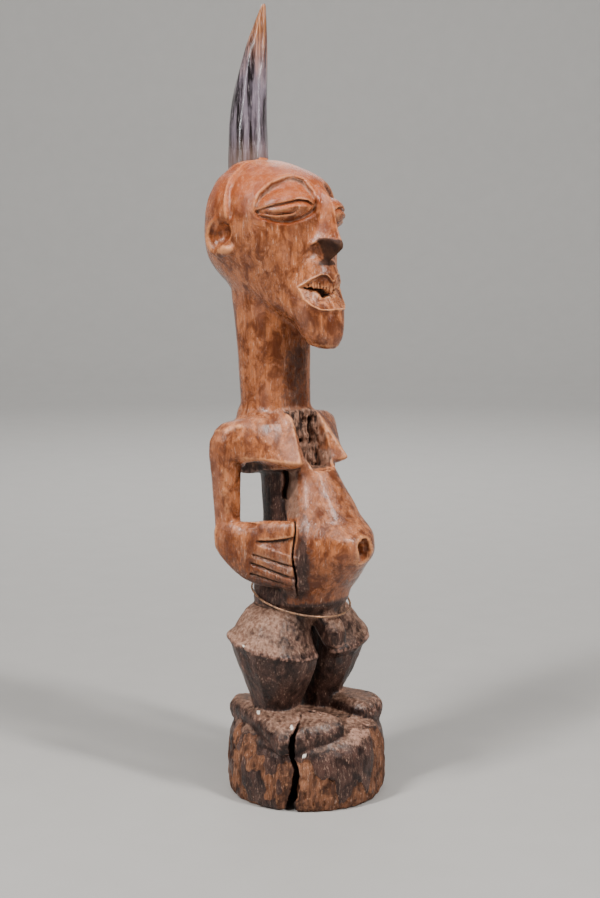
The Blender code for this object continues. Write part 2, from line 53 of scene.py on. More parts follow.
def curve(knots, values, at):
    """A smooth line through knots that never overshoots them."""
    knots = np.asarray(knots, float)
    values = np.asarray(values, float)
    gaps = np.diff(knots)
    slopes = np.diff(values) / gaps
    turn = np.concatenate(([slopes[0]], np.zeros(len(gaps) - 1), [slopes[-1]]))
    same = slopes[:-1] * slopes[1:] > 0
    turn[1:-1][same] = 2 * slopes[:-1][same] * slopes[1:][same] / (slopes[:-1][same] + slopes[1:][same])
    at = np.clip(at, knots[0], knots[-1])
    i = np.clip(np.searchsorted(knots, at, side="right") - 1, 0, len(gaps) - 1)
    t = (at - knots[i]) / gaps[i]
    start = (1 + 2 * t) * (1 - t) ** 2 * values[i] + t * (1 - t) ** 2 * gaps[i] * turn[i]
    end = t * t * (3 - 2 * t) * values[i + 1] + t * t * (t - 1) * gaps[i] * turn[i + 1]
    return (start + end).astype(np.float32)


def ease(low, high, value):
    """0 below low, 1 above high, and a smooth rise between."""
    t = np.clip((value - low) / (high - low), 0, 1)
    return t * t * (3 - 2 * t)


def bump(value, width):
    return np.exp(-(value / width) ** 2)


def soft_min(a, b, width):
    t = np.clip(0.5 + 0.5 * (b - a) / width, 0, 1)
    return b + (a - b) * t - width * t * (1 - t)


def soft_max(a, b, width):
    return -soft_min(-a, -b, width)


def blended(value_at, spots):
    """The values at the eight corners round each spot, mixed by how near each one is."""
    (i, u), (j, v), (k, w) = spots
    total = 0
    for di, dj, dk in product((0, 1), repeat=3):
        weight = (u if di else 1 - u) * (v if dj else 1 - v) * (w if dk else 1 - w)
        total = total + weight * value_at(i + di, j + dj, k + dk)
    return total


LATTICE = np.random.RandomState(11).uniform(-1, 1, (32, 32, 32)).astype(np.float32)


def noise(x, y, z, seed=0):
    """Smooth lumps from -1 to 1, one lump to a unit."""
    spots = []
    for value, shift in ((x, 3.7), (y, 5.3), (z, 7.9)):
        value = np.asarray(value, np.float32) + np.float32(shift * (seed + 1) + 100)
        whole = np.floor(value)
        share = value - whole
        spots.append((whole.astype(np.int32) & 31, share * share * (3 - 2 * share)))
    return blended(lambda i, j, k: LATTICE[i & 31, j & 31, k & 31], spots)


def oval(across, along, half, depth, power):
    """Distance to a squarish oval in plan; a higher power is squarer."""
    u = np.abs(across) / half + 1e-4
    v = np.abs(along) / depth + 1e-4
    reach = (u ** power + v ** power) ** (1 / power)
    slope = np.sqrt((u ** (power - 1) / half) ** 2 + (v ** (power - 1) / depth) ** 2) * reach ** (1 - power)
    return np.clip((reach - 1) / slope, -30, 60)


def egg(x, y, z, centre, axes):
    """Distance to an egg-round form."""
    u, v, w = ((value - middle) / half for value, middle, half in zip((x, y, z), centre, axes))
    reach = np.sqrt(u * u + v * v + w * w) + 1e-4
    slope = np.sqrt((u / axes[0]) ** 2 + (v / axes[1]) ** 2 + (w / axes[2]) ** 2) / reach + 1e-4
    return np.clip((reach - 1) / slope, -30, 60)


def outline_distance(points, u, v):
    """Distance to a closed outline in a plane, negative inside."""
    nearest = np.full(np.broadcast(u, v).shape, 1e9, np.float32)
    inside = np.zeros(nearest.shape, bool)
    for (u0, v0), (u1, v1) in zip(points, points[1:] + points[:1]):
        du, dv = u1 - u0, v1 - v0
        share = np.clip(((u - u0) * du + (v - v0) * dv) / (du * du + dv * dv), 0, 1)
        nearest = np.minimum(nearest, (u - u0 - share * du) ** 2 + (v - v0 - share * dv) ** 2)
        if dv:
            inside ^= ((v0 > v) != (v1 > v)) & (u < u0 + (v - v0) * du / dv)
    return np.sqrt(nearest) * np.where(inside, -1, 1)


def stacked(sections):
    """Distance to a form of level sections: height above the soles, front, back, half width, powers."""
    table = np.array([(*row, 2, 2)[:6] for row in sections], float).T

    def distance(x, y, z):
        level = z - SOLES
        front, back, half, front_power, back_power = (curve(table[0], row, level) for row in table[1:])
        along = y - (front + back) / 2
        power = np.where(along < 0, front_power, back_power)
        side = oval(x, along, half, (back - front) / 2, power)
        return np.maximum(side, np.maximum(table[0, 0] - level, level - table[0, -1]))
    return distance


def rod(path, radii):
    """Distance to a round rod along a path, thicker or thinner on its way."""
    def distance(x, y, z):
        best = None
        for (ax, ay, az), (bx, by, bz), ra, rb in zip(path, path[1:], radii, radii[1:]):
            dx, dy, dz = bx - ax, by - ay, bz - az
            share = ((x - ax) * dx + (y - ay) * dy + (z - az) * dz) / (dx * dx + dy * dy + dz * dz)
            share = np.clip(share, 0, 1)
            gap = np.sqrt((x - ax - share * dx) ** 2 + (y - ay - share * dy) ** 2
                          + (z - az - share * dz) ** 2)
            gap = gap - (ra + (rb - ra) * share)
            best = gap if best is None else np.minimum(best, gap)
        return best
    return distance


# The block of wood, as points that each know how far the carved surface is

def spaced(*stops):
    """Places along an axis, from pairs of a start and the step that holds from there."""
    places = []
    for (start, step), (end, _) in zip(stops, stops[1:]):
        count = max(1, round((end - start) / (step * STEP_SHARE)))
        places += [start + (end - start) * i / count for i in range(count)]
    return np.array([*places, stops[-1][0]], np.float32)


class Block:
    def __init__(self, *axes):
        self.axes = axes
        self.field = np.full([len(axis) for axis in axes], FAR_AWAY, np.float32)

    def window(self, low, high):
        cut = tuple(slice(*np.searchsorted(axis, ends)) for axis, ends in zip(self.axes, zip(low, high)))
        x, y, z = (axis[part] for axis, part in zip(self.axes, cut))
        return cut, x[:, None, None], y[None, :, None], z[None, None, :]

    def add(self, low, high, form, join):
        cut, x, y, z = self.window(low, high)
        self.field[cut] = soft_min(self.field[cut], form(x, y, z), join)

    def carve(self, low, high, form, join):
        cut, x, y, z = self.window(low, high)
        self.field[cut] = soft_max(self.field[cut], -form(x, y, z), join)

    def relief(self, low, high, depth):
        """Takes off depth mm of the surface, or lays it on where depth is negative."""
        cut, x, y, z = self.window(low, high)
        self.field[cut] += depth(x, y, z)

    def soften(self, low, high, times):
        cut = self.window(low, high)[0]
        self.field[cut] = blurred(self.field[cut], times)

    def sample(self, field, points):
        spots = []
        for axis, places in enumerate(self.axes):
            i = np.clip(np.searchsorted(places, points[:, axis]) - 1, 0, len(places) - 2)
            spots.append((i, (points[:, axis] - places[i]) / (places[i + 1] - places[i])))
        return blended(lambda i, j, k: field[i, j, k], spots)

    def skin(self):
        """Corners and four-sided faces of the surface."""
        inside = self.field < 0
        cells = [size - 1 for size in inside.shape]
        full = np.zeros(cells, np.uint8)
        for i, j, k in product((0, 1), repeat=3):
            full += inside[i:cells[0] + i, j:cells[1] + j, k:cells[2] + k]
        mixed = (full > 0) & (full < 8)
        number = np.full(cells, -1, np.int32)
        count = int(mixed.sum())
        number[mixed] = np.arange(count, dtype=np.int32)
        sums = np.zeros((3, count))
        shares = np.zeros(count)
        faces = []
        for axis in range(3):
            near = [slice(None)] * 3
            far = [slice(None)] * 3
            near[axis] = slice(0, -1)
            far[axis] = slice(1, None)
            start = np.array(np.nonzero(inside[tuple(near)] != inside[tuple(far)]))
            end = start.copy()
            end[axis] += 1
            here = self.field[tuple(start)]
            share = here / (here - self.field[tuple(end)])
            point = [places[spot].astype(float) for places, spot in zip(self.axes, start)]
            point[axis] += share * (self.axes[axis][end[axis]] - point[axis])
            ring = []
            for across, up in ((0, 0), (-1, 0), (-1, -1), (0, -1)):
                cell = start.copy()
                cell[(axis + 1) % 3] += across
                cell[(axis + 2) % 3] += up
                ring.append(number[tuple(cell)])
            for corner in ring:
                shares += np.bincount(corner, minlength=count)
                for i in range(3):
                    sums[i] += np.bincount(corner, weights=point[i], minlength=count)
            ring = np.array(ring).T
            leaving = inside[tuple(start)]
            faces.append(np.where(leaving[:, None], ring, ring[:, ::-1]))
        return keep_largest((sums / shares).T, np.concatenate(faces))


def blurred(field, times):
    for _ in range(times):
        for axis in range(3):
            field = np.moveaxis(field, axis, 0)
            middle = 0.5 * field[1:-1] + 0.25 * (field[:-2] + field[2:])
            field = np.concatenate((field[:1], middle, field[-1:]))
            field = np.moveaxis(field, 0, axis)
    return field


def keep_largest(points, faces):
    """Drops loose crumbs, and keeps the one body of wood."""
    label = np.arange(len(points))
    while True:
        low = label[faces].min(axis=1)
        fresh = label.copy()
        for corner in range(4):
            np.minimum.at(fresh, label[faces[:, corner]], low)
            np.minimum.at(fresh, faces[:, corner], low)
        fresh = fresh[fresh]
        fresh = fresh[fresh]
        if np.array_equal(fresh, label):
            break
        label = fresh
    main = np.bincount(label).argmax()
    kept = label == main
    renumber = np.cumsum(kept) - 1
    return points[kept], renumber[faces[kept[faces[:, 0]]]]


# Directions of the front quarters: how far across one lies and how far out, the same on both sides

def quarter(x, y):
    """Across to the front and outward, in mm, on the quarter between the front and either side."""
    x = -np.abs(x)
    return (x - y) * 0.7071, -(x + y) * 0.7071


# Base drum and feet

BASE_RADIUS = 59.3
BASE_WALL = ((0, 2.8), (0.07, 0.84), (0.22, 0), (0.52, 0.34), (0.74, 2.0), (0.88, 5.1), (0.965, 9.9),
             (1.0, 17))
NEAR_FOOT = [(-30, 50), (-38, 44), (-44, 24), (-50, 2), (-56, -20), (-56, -28), (-50, -33), (-36, -40),
             (-22, -46), (-10, -48), (-4, -42), (-5, -32), (-10, -14), (-11, 8), (-13, 32), (-20, 47)]
FAR_FOOT = [(30, 50), (38, 44), (43, 24), (47, 2), (50, -16), (51, -27), (46, -35), (38, -41), (28, -43),
            (20, -40), (17, -32), (18, -22), (17, -10), (17, 8), (18, 32), (22, 46)]
TOE_GROOVES = (((-39, -41), (-36, -34)), ((-49, -35), (-46, -29)), ((25, -44), (26, -34)),
               ((33, -43), (32, -33)), ((41, -38), (38, -30)), ((48, -31), (44, -25)))
FOOT_THICK = 11
FOOT_LAP = 6                  # mm that the near foot's edge hangs down over the drum's wall


def ground(x, y):
    """Height of the drum's top, which droops towards the near front."""
    towards = np.maximum(0, -(x + y) * 0.7071) / BASE_RADIUS
    return SOLES - 9.5 * towards ** 2


def base_form(x, y, z):
    angle = np.arctan2(y, x)
    top = ground(x, y)
    share = z / top
    inset = curve(*zip(*BASE_WALL), share)
    hewn = 1 + 0.008 * np.sin(3 * angle + 0.6) + 0.005 * np.sin(7 * angle)
    wall = np.sqrt(x * x + y * y) - (BASE_RADIUS - inset) * hewn
    return soft_max(soft_max(wall, (z - top - 0.4) * 0.9, 6), -z, 1.5)


def foot_form(outline):
    def distance(x, y, z):
        edge = outline_distance(outline, x, y)
        thick = FOOT_THICK - 3.2 * ease(-9, 0, edge) ** 2
        over = z - ground(x, y)
        undercut = 1.8 * ease(2, -FOOT_LAP, over)
        return soft_max(soft_max(edge + undercut, over - thick, 4.5), -FOOT_LAP - over, 2.0)
    return distance


def toe_depth(x, y, z):
    depth = 0
    for (x0, y0), (x1, y1) in TOE_GROOVES:
        dx, dy = x1 - x0, y1 - y0
        share = ((x - x0) * dx + (y - y0) * dy) / (dx * dx + dy * dy)
        off = ((x - x0) * dy - (y - y0) * dx) / (dx * dx + dy * dy) ** 0.5
        depth = depth + 2.4 * bump(off, 0.95) * (1 - ease(0.55, 1.05, share))
    return depth * ease(1.5, 4, z - ground(x, y))


# Legs

LEG = ((-6, 23.5, 7.5, 16, 0), (6, 23.5, 7.5, 16.5, 0.1), (15, 24, 8, 18.6, 0.3),
       (30, 25, 6.8, 24.5, 0.6), (40, 26, 7, 28.2, 0.8), (50, 26.5, 7.2, 31.2, 1), (54, 27, 8, 32.9, 1),
       (55.2, 27, 8, 33.7, 1), (57.5, 27, 8, 33.2, 1), (63, 26, 8, 29, 0.9), (70, 24, 9, 26.6, 0.6),
       (79.5, 18.5, 11, 24, 0.2), (85, 13, 10, 21.5, 0), (97, 11, 8, 20, 0))
FAR_CALF_SLIMMER = 2.2        # mm that the far calf is slimmer than the near one
LEG_GAP_HALF = 6.5
KNEE_LEVEL = 55


def leg_level(x, y, z):
    """Height on a leg above the soles, as if the knee's edge ran level."""
    level = z - SOLES
    table = np.array(LEG, float).T
    slope = np.interp(level, table[0], table[4])
    return level - slope * (0.19 * (y - 8) + 0.12 * (np.abs(x) - 27))


def leg_form(x, y, z):
    table = np.array(LEG, float).T
    level = leg_level(x, y, z)
    out, setback, radius = (np.interp(level, table[0], row) for row in table[1:4])
    radius = radius - FAR_CALF_SLIMMER * (x > 0) * ease(54, 48, level)
    side = np.abs(x) - out
    angle = np.arctan2(y - setback, side)
    count = 11
    facet = cos(pi / count) / np.cos((angle + 0.35) % (2 * pi / count) - pi / count)
    hewn = np.where(level < KNEE_LEVEL, 1 + 0.8 * (facet - 0.99), 1 + 0.35 * (facet - 0.99))
    leg = oval(side, y - setback, radius * hewn, radius * hewn, 2.15)
    gap = LEG_GAP_HALF - np.abs(x)
    leg = np.where(level < 80, soft_max(leg, gap, 3), leg)
    return np.maximum(leg, np.maximum(-6 - level, level - 97))


# Hips, belly and back

HIPS = ((70, -12, 26, 18), (78, -21, 36, 26), (84, -26.5, 40, 32.4), (89, -29.2, 41.2, 35.2),
        (98, -29, 40.5, 34), (108, -26, 40, 30), (118, -18, 39, 24))
LOIN_FLAP = ((55, -33, -23, 4, 3, 3), (58, -36, -20, 6.5, 3.6, 3), (66, -35.4, -14, 8, 3.2, 3),
             (74, -31.2, -8, 8.5, 3, 3), (77.5, -27.5, -6, 8.5, 2.6, 2), (88, -22, 0, 8, 2, 2))
BELLY = ((81, -13, 5, 16), (87, -24.3, 8, 26), (94.5, -29, 9, 31), (105, -38.5, 9, 34, 1.9),
         (117, -50, 9, 34.5, 1.7), (124, -57, 9, 34.6, 1.65), (131, -60.5, 9, 34, 1.55),
         (138, -58.5, 8.5, 33, 1.65), (144.5, -51.5, 8, 31.5, 1.85), (152, -43.2, 8, 28.5, 1.9),
         (162, -36.5, 8, 25), (172, -30, 8, 21), (183, -23.5, 8, 17.5), (196, -14, 8, 15))
COLUMN = ((96, -6, 38, 30), (110, -5, 38.5, 25), (128, -3.5, 39.5, 19.5), (150, -2, 40.5, 17),
          (175, -2, 43, 17), (195, -3, 52, 19), (206, -4, 56, 22))
NAVEL = (0, -61.8, 188.5)
HAND_CRACK = ((147, -5.9), (162.7, -8.1), (166.5, -7.7), (175.5, -9.3), (184.3, -10.6), (194, -9.6),
              (204.6, -8.4))


def hand_crack_depth(x, y, z):
    """The split that runs down the near fingertips and fades below them."""
    across = (x - y) * 0.7071
    line = np.interp(z, *zip(*HAND_CRACK)) + 0.5 * noise(z / 3.1, 0, 0, 4)
    strength = ease(146, 163, z) * (1 - ease(206, 209, z))
    return 5.0 * bump(across - line, 0.5) * strength * (x < 0)


def torn_side_depth(x, y, z):
    """The open split and the broken crust beside it, between the near arm and the belly."""
    across = (x - y) * 0.7071
    middle = -15.2 + 0.9 * np.sin(z / 3.3)
    split = 9 * bump(across - middle, 1.5) * ease(217, 222, z) * (1 - ease(239, 243, z))
    crust = 1.5 * noise(x / 4, y / 4, z / 5, 2) * ease(205, 212, z) * (1 - ease(240, 246, z))
    crust = crust * ease(-19, -15, across) * (1 - ease(-9, -6, across))
    hollow = 2.2 * bump(across + 21, 3) * bump(z - 222, 9)
    hollow = hollow + 1.2 * noise(x / 6, y / 6, z / 9, 11) * ease(204, 210, z)
    return split + crust + hollow * ease(250, 240, z)


def navel_form(x, y, z):
    hole = egg(x, y + 0.25 * (z - 188), z, NAVEL, (6.6, 14.5, 10.4))
    return hole + 1.1 * noise(x / 3, y / 4, z / 3, 3)


# Chest, arms and hands

CHEST = ((182, 15, 6, 0, 42, 6, 4, 44), (186, 23, -10, 8, 53, 11, 7, 50),
         (190, 25, -19.5, 9, 57, 13, 7.5, 53), (198, 22.5, -15, 8, 57.5, 14, 4.5, 58),
         (210, 19, -8, 5, 57.5, 14, 0, 61), (220, 16, -1.5, 2, 55.5, 12.5, -4, 61),
         (226, 14, 3.5, 0.5, 50.5, 9, -7, 58))
BLADE_DROP = 0.27             # how steeply the top of the shoulders falls towards the back
SHOULDER_SETBACK = 33
CAVITY_HALF = 14
UPPER_ARM = ((126, 48, 32, 4.5), (130, 48, 32.5, 6), (136, 48.5, 33, 7.6), (150, 49, 33, 8.3),
             (175, 49.8, 33.2, 9.3), (195, 50, 33.6, 10.2), (206, 49, 33.6, 10), (212, 46, 33.6, 8))
ELBOW = (52.5, 33.5)
FINGERTIPS = (33.5, -21)
FOREARM = ((-0.10, 132, 140, 4), (-0.06, 126, 146, 7), (0.05, 119, 147.5, 8.3), (0.2, 111.5, 148, 8.4),
           (0.4, 105.5, 149, 8), (0.6, 103, 150.5, 7.4), (0.85, 102.5, 151.5, 7), (0.97, 103.5, 151, 6),
           (1.03, 106, 149, 4))


def chest_outline(level):
    tip_x, tip_y, notch, half, deep, spine = (float(np.interp(level, [row[0] for row in CHEST],
                                                              [row[i] for row in CHEST]))
                                              for i in (1, 2, 3, 4, 5, 7))
    back = SHOULDER_SETBACK
    blade = (back + deep + spine) / 2 + 1
    right = [(CAVITY_HALF * 0.8, tip_y + notch), (tip_x, tip_y), (tip_x + 5, tip_y + 7),
             (half * 0.72, (tip_y + back - deep) / 2 + 4), (half * 0.9, back - deep),
             (half, back - deep * 0.5), (half + 1.5, back), (half, back + deep * 0.5),
             (half * 0.9, back + deep * 0.9), (half * 0.62, blade), (half * 0.33, spine - 0.5)]
    left = [(-x, y) for x, y in reversed(right)]
    return [(0, tip_y + notch + 1), *right, (0, spine), *left]


def chest_form(x, y, z):
    levels = np.arange(CHEST[0][0], CHEST[-1][0] + 0.5, 1.0)
    flat_x, flat_y = x[:, :, 0], y[:, :, 0]
    layers = np.stack([outline_distance(chest_outline(level), flat_x, flat_y) for level in levels], 2)
    half = np.interp(z - SOLES, [row[0] for row in CHEST], [row[4] for row in CHEST])
    rise = np.interp(z - SOLES, [row[0] for row in CHEST], [row[6] for row in CHEST])
    level = z - SOLES - rise * np.minimum(1.1, (x / half) ** 2) + BLADE_DROP * np.maximum(0, y - 22)
    spot = np.clip(level - levels[0], 0, len(levels) - 1.001)
    i = spot.astype(np.int32)
    share = spot - i
    side = np.take_along_axis(layers, i, 2) * (1 - share) + np.take_along_axis(layers, i + 1, 2) * share
    return soft_max(side, np.maximum(levels[0] - level, level - levels[-1]), 2)


def cavity_form(x, y, z):
    """The eaten-out channel between the breasts, rough, with deep holes on its far side."""
    floor = 2 + 3.0 * noise(x / 4.5, 0, z / 8, 1) + 1.6 * noise(x / 2, 0, z / 4, 2) + 3 * ease(245, 285, z)
    gully = bump(x - 9.5 - 0.8 * np.sin(z / 4), 2.2)
    floor = floor + 9 * gully * ease(256, 261, z) * (1 - ease(277, 280, z))
    floor = floor - 4.5 * bump(x - 1, 2.4) * (1 - ease(262, 272, z))
    for hole_x, hole_z, radius in ((3.5, 276.5, 1.9), (9.5, 276.5, 1.6), (-3.5, 262, 1.7), (5, 252, 1.8)):
        floor = floor + 8 * bump(np.sqrt((x - hole_x) ** 2 + (z - hole_z) ** 2), radius)
    sides = np.abs(x - 0.4) - CAVITY_HALF + 0.8 * noise(0, y / 4, z / 4, 3) + 2.8 * (1 - ease(244, 256, z))
    return np.maximum(np.maximum(sides, y - floor), 242.5 + 1.2 * noise(x / 3, y / 5, 0, 5) - z)


def upper_arm_form(x, y, z):
    table = np.array(UPPER_ARM, float).T
    level = z - SOLES
    out, setback, half = (curve(table[0], row, level) for row in table[1:])
    side = oval(np.abs(x) - out, y - setback, half, half, 3.0)
    return np.maximum(side, np.maximum(126 - level, level - 212))


WINDOW_INNER = 24             # mm from the middle to the side of the window that the column hides
WINDOW_OUTER = 41.0
WINDOW_FRONT_OUTER = 45.5     # the same in front of the arm
WINDOW_TOP = 251.0
WINDOW_ROUND = 9.0


def window_form(x, y, z):
    """The opening between arm and belly, its top rounded into the arm and falling towards the belly."""
    x = np.abs(x)
    top = WINDOW_TOP - 0.37 * (WINDOW_OUTER - x)
    outer = WINDOW_OUTER + (WINDOW_FRONT_OUTER - WINDOW_OUTER) * ease(24, 17, y)
    opening = np.maximum(WINDOW_INNER - x, 222 - z)
    opening = np.maximum(opening, np.abs(y - 26) - 34)
    return np.maximum(opening, soft_max(x - outer, z - top, WINDOW_ROUND))


def along_forearm(x, y):
    """Share of the way from elbow to fingertips, distance outward of that line, and its length."""
    dx, dy = FINGERTIPS[0] - ELBOW[0], FINGERTIPS[1] - ELBOW[1]
    length = (dx * dx + dy * dy) ** 0.5
    share = ((np.abs(x) - ELBOW[0]) * dx + (y - ELBOW[1]) * dy) / length ** 2
    off = ((np.abs(x) - ELBOW[0]) * -dy + (y - ELBOW[1]) * dx) / length
    return share, off, length


def forearm_form(x, y, z):
    table = np.array(FOREARM, float).T
    share, off, length = along_forearm(x, y)
    low, high, half = (curve(table[0], row, share) for row in table[1:])
    slim = ease(0.45, 0.8, share) * (x > 0)
    high = high - 4.5 * slim
    half = half - 2.2 * slim
    side = oval(off, z - SOLES - (low + high) / 2, half, (high - low) / 2, 3.2)
    ends = np.maximum(table[0, 0] - share, share - table[0, -1]) * length
    return np.maximum(side, ends)


THUMB_LINE = ((-40, 193.4), (-36, 194.4), (-25, 195.5), (-9, 199.2))
ARM_BEVEL = ((-56, 195), (-48.6, 197.8), (-37, 203.5), (-23, 205.8), (-9, 207))
INDEX_LINE = ((-40, 191.6), (-38.9, 191.4), (-9.4, 184), (-4, 182.6))
FINGER_LINES = (((-39.2, 183.8), (-10.4, 177.1)), ((-40.8, 177.7), (-9.7, 168.6)),
                ((-41.4, 169.8), (-9.1, 162)))


def hand_depth(x, y, z):
    """The hand's back, let in under the thumb, and the cuts between the fingers."""
    across, _ = quarter(x, y)
    _, off, _ = along_forearm(x, y)
    outer = ease(0.5, 3.5, off)
    thumb = np.interp(across, *zip(*THUMB_LINE))
    index = np.interp(across, *zip(*INDEX_LINE))
    within = ease(-38.5, -33, across) * (1 - ease(-7, -3, across))
    let_in = ease(0, 0.9, thumb - z) * ease(0, 0.8, z - index)
    slope = np.clip((z - index) / np.maximum(thumb - index, 2), 0, 1)
    depth = let_in * (0.9 + 2.6 * slope ** 1.5) * within
    bevel = np.maximum(0, z - np.interp(across, *zip(*ARM_BEVEL)))
    depth = depth + 0.42 * bevel * ease(-20, -27, across) * ease(-53, -45, across) * ease(214, 209, z)
    for (a0, z0), (a1, z1) in FINGER_LINES:
        line = z0 + (z1 - z0) * (across - a0) / (a1 - a0)
        reach = ease(a0 - 0.6, a0 + 0.6, across) * (1 - ease(a1 + 1, a1 + 5, across))
        drop = line - z
        cutting = np.where(drop > 0, bump(drop, 1.6), bump(drop, 0.55))
        depth = depth + 2.1 * cutting * reach
    return depth * outer


# Neck and head

NECK = ((214, 5.3, 63, 30, 2, 2), (225, 7.4, 61.5, 27.5, 2.4, 2), (231, 8.8, 59.8, 25.2, 2.5, 2),
        (262, 9.5, 62, 25.6, 2.5, 2), (291, 9.3, 64.5, 26.8, 2.3, 2), (318, 8, 68, 28, 2, 2),
        (330, 8, 68, 28, 2, 2))
HEAD = ((273.5, -26, -13, 5, 2.2), (276, -28.5, -6, 9.5, 2.2), (283, -30.6, 1, 14, 2.2),
        (292, -30.4, 10, 18, 2.1), (304, -27.6, 34, 25.5), (312, -25, 56, 29), (317, -23.6, 69, 31.5),
        (323, -21, 78, 34.5), (334, -17.5, 87, 40), (343, -16, 89.5, 43.5), (354, -16, 90.5, 45.5),
        (368, -17, 89.5, 45.8), (379.6, -15.5, 87, 44), (388, -9.5, 82.5, 40), (394, -3.5, 78.5, 36),
        (400, 7, 73, 28), (405, 21, 69, 20), (408, 34, 66, 12), (409, 44, 62, 5))
NOSE = ((328, -24, 4, 11, 1.5), (335, -31.5, 6, 12.8, 1.4), (343.5, -35.3, 6, 13.2, 1.3),
        (347, -35.5, 6, 12.8, 1.25), (353, -32.5, 6, 10.5, 1.3), (361, -29.5, 6, 8.5, 1.3),
        (373, -27, 6, 6.5, 1.3), (380, -23, 6, 5.5, 1.3), (388, -12, 6, 4, 1.5))
MUZZLE = ((288, -27.4, 4, 10, 2.2), (297, -28, 4, 14, 2.2), (301.5, -28.6, 4, 16.8, 2.1),
          (305, -27.6, 4, 18.6, 2.1), (311, -26.6, 4, 18.6, 2), (319, -26.2, 4, 17.8, 2),
          (325, -25.6, 4, 15.8, 2), (330, -24, 4, 15.3, 2), (335, -21.6, 4, 14, 2), (341, -15, 4, 8, 2))
FAR_EYE_DROP = 4.5            # mm that the far eye sits lower than the near one
BROW = [(-38.1, 428.3), (-34.0, 440.1), (-25.4, 447.6), (-14.9, 452.5), (-9.3, 453.2), (-1.9, 450.4),
        (4.7, 441.7), (7.5, 432.8), (6.5, 425.5), (2, 420.5), (-5, 417.5), (-14, 415.5), (-24, 416.5),
        (-33, 421)]
UPPER_LID = ((-37, 427.6), (-35.8, 428.3), (-26.1, 431.0), (-14.9, 433.8), (-6.5, 435.8), (0.5, 435.1),
             (4, 432.4))
LOWER_LID = ((-37, 426.6), (-36.1, 426.2), (-21.9, 424.9), (-10.7, 426.2), (-0.9, 430.3), (4, 432.0))
LID_CREASE = ((-38, 426), (-34.5, 424.1), (-19.8, 420.3), (-12.1, 420.0), (-4.1, 422.7), (2.6, 426.9),
              (6, 430))
MOUTH_MIDDLE = -14.5
UPPER_LIP = ((-1, 377.6), (0, 377.8), (2.5, 378.6), (5, 381), (9, 382.8), (15, 382.9), (24.8, 379.8),
             (33.5, 374))
LOWER_LIP = ((0, 359.3), (6.3, 359), (15.2, 359.3), (22.4, 362.1), (29.2, 366.6), (33.5, 373))
MOUTH_SLIT = ((0, 369), (8, 371.4), (20, 372.4), (33, 373.4))
CHIN_CREASE = ((338, -3), (342, -5.8), (352.7, -13.6), (372.4, -15.7), (380, -16))


NOSE_KEEL = (-20.6, 390.8)       # where the keel under the nose meets the lip: its y and height
NOSE_CUT = (0.729, -0.388, -0.566)  # the way each facet under the nose faces, out to its own side


def nose_facet(x, y, z):
    """Distance from the flat that cuts away the nose's underside on one's own side."""
    side, front, up = NOSE_CUT
    return np.abs(x) * side + (y - NOSE_KEEL[0]) * front + (z - NOSE_KEEL[1]) * up


def nose_form(x, y, z):
    """The nose, its underside cut away in two facets that meet in a keel."""
    facet = nose_facet(x, y, z) + 3.0 * bump(np.abs(x) - 7.0, 4.0)
    return soft_max(stacked(NOSE)(x, y, z), facet, 0.6)


def mouth_form_depth(x, y, z):
    """The open mouth: a fringe of cut teeth, the gap under it, the sloping lower side and the lips."""
    turn = np.degrees(np.arctan2(-(y - MOUTH_MIDDLE) / 18.5, np.abs(x) / 21))
    along = (90 - turn) * 0.35
    lower = np.interp(along, *zip(*LOWER_LIP))
    slit = np.interp(along, *zip(*MOUTH_SLIT))
    outline = [*UPPER_LIP[1:], *reversed(LOWER_LIP[:-1])]
    edge = outline_distance(outline, along, z + 0 * x)
    inside = ease(0.5, -0.5, edge)
    gape = slit - 5.0 * bump(along - 12, 9)
    shelf = 0.9 + 4.6 * np.clip((z - lower) / np.maximum(gape - lower, 1), 0, 1) ** 0.9
    tooth = (along / 2.9 + 0.25 * noise(along / 4, 0, 0, 9)) % 1
    notch = np.abs(tooth - 0.5) * 2
    teeth_foot = slit + 0.6 + 2.6 * notch ** 3 + 0.6 * noise(along / 3, 0, 0, 3)
    fringe = 1.5 + 0.9 * ease(6, 0, z - teeth_foot) + 1.9 * notch ** 4 * ease(6.5, 1, z - teeth_foot)
    depth = np.where(z < gape, shelf, np.where(z < teeth_foot, 9.5, fringe))
    depth = depth + 1.3 * np.maximum(0, noise(along / 2.2, 0, z / 1.8, 6) - 0.1) * (z < gape)
    outside = np.maximum(edge, 0)
    lips = -0.8 * bump(outside - 0.3, 0.9) * (1 - inside)
    front = (y < 2) * ease(345, 352, z)
    return (depth * inside + lips) * front


def eye_height(x, z):
    """Height of a point as if both eyes were level with the near one."""
    return z + FAR_EYE_DROP * (x > 0)


def eye_depth(x, y, z):
    """Cuts of the eye: the overhang of the upper lid, the slit below the ball, the crease below the lid."""
    across, out = quarter(x, y)
    z = eye_height(x, z)
    reach = ease(-38, -34, across) * (1 - ease(1, 6, across))
    under = np.interp(across, *zip(*UPPER_LID)) - z
    heavy = 0.6 + 0.6 * bump(across + 8, 11)
    overhang = 3.4 * heavy * (1 - np.clip(under / 4.2, 0, 1)) * ease(-0.3, 0.3, under) * reach
    slit = np.interp(across, *zip(*LOWER_LID)) - z
    cut = (1.4 + 1.6 * bump(across + 16, 8)) * np.where(slit < 0, bump(slit, 1.5), bump(slit, 0.5)) * reach
    cut = cut * (1 - ease(-12, -4, across))
    crease = 2.0 * bump(z - np.interp(across, *zip(*LID_CREASE)), 1.3)
    crease = crease * ease(-38, -32, across) * (1 - ease(2, 7, across))
    return (overhang + cut + crease) * (out > 10)


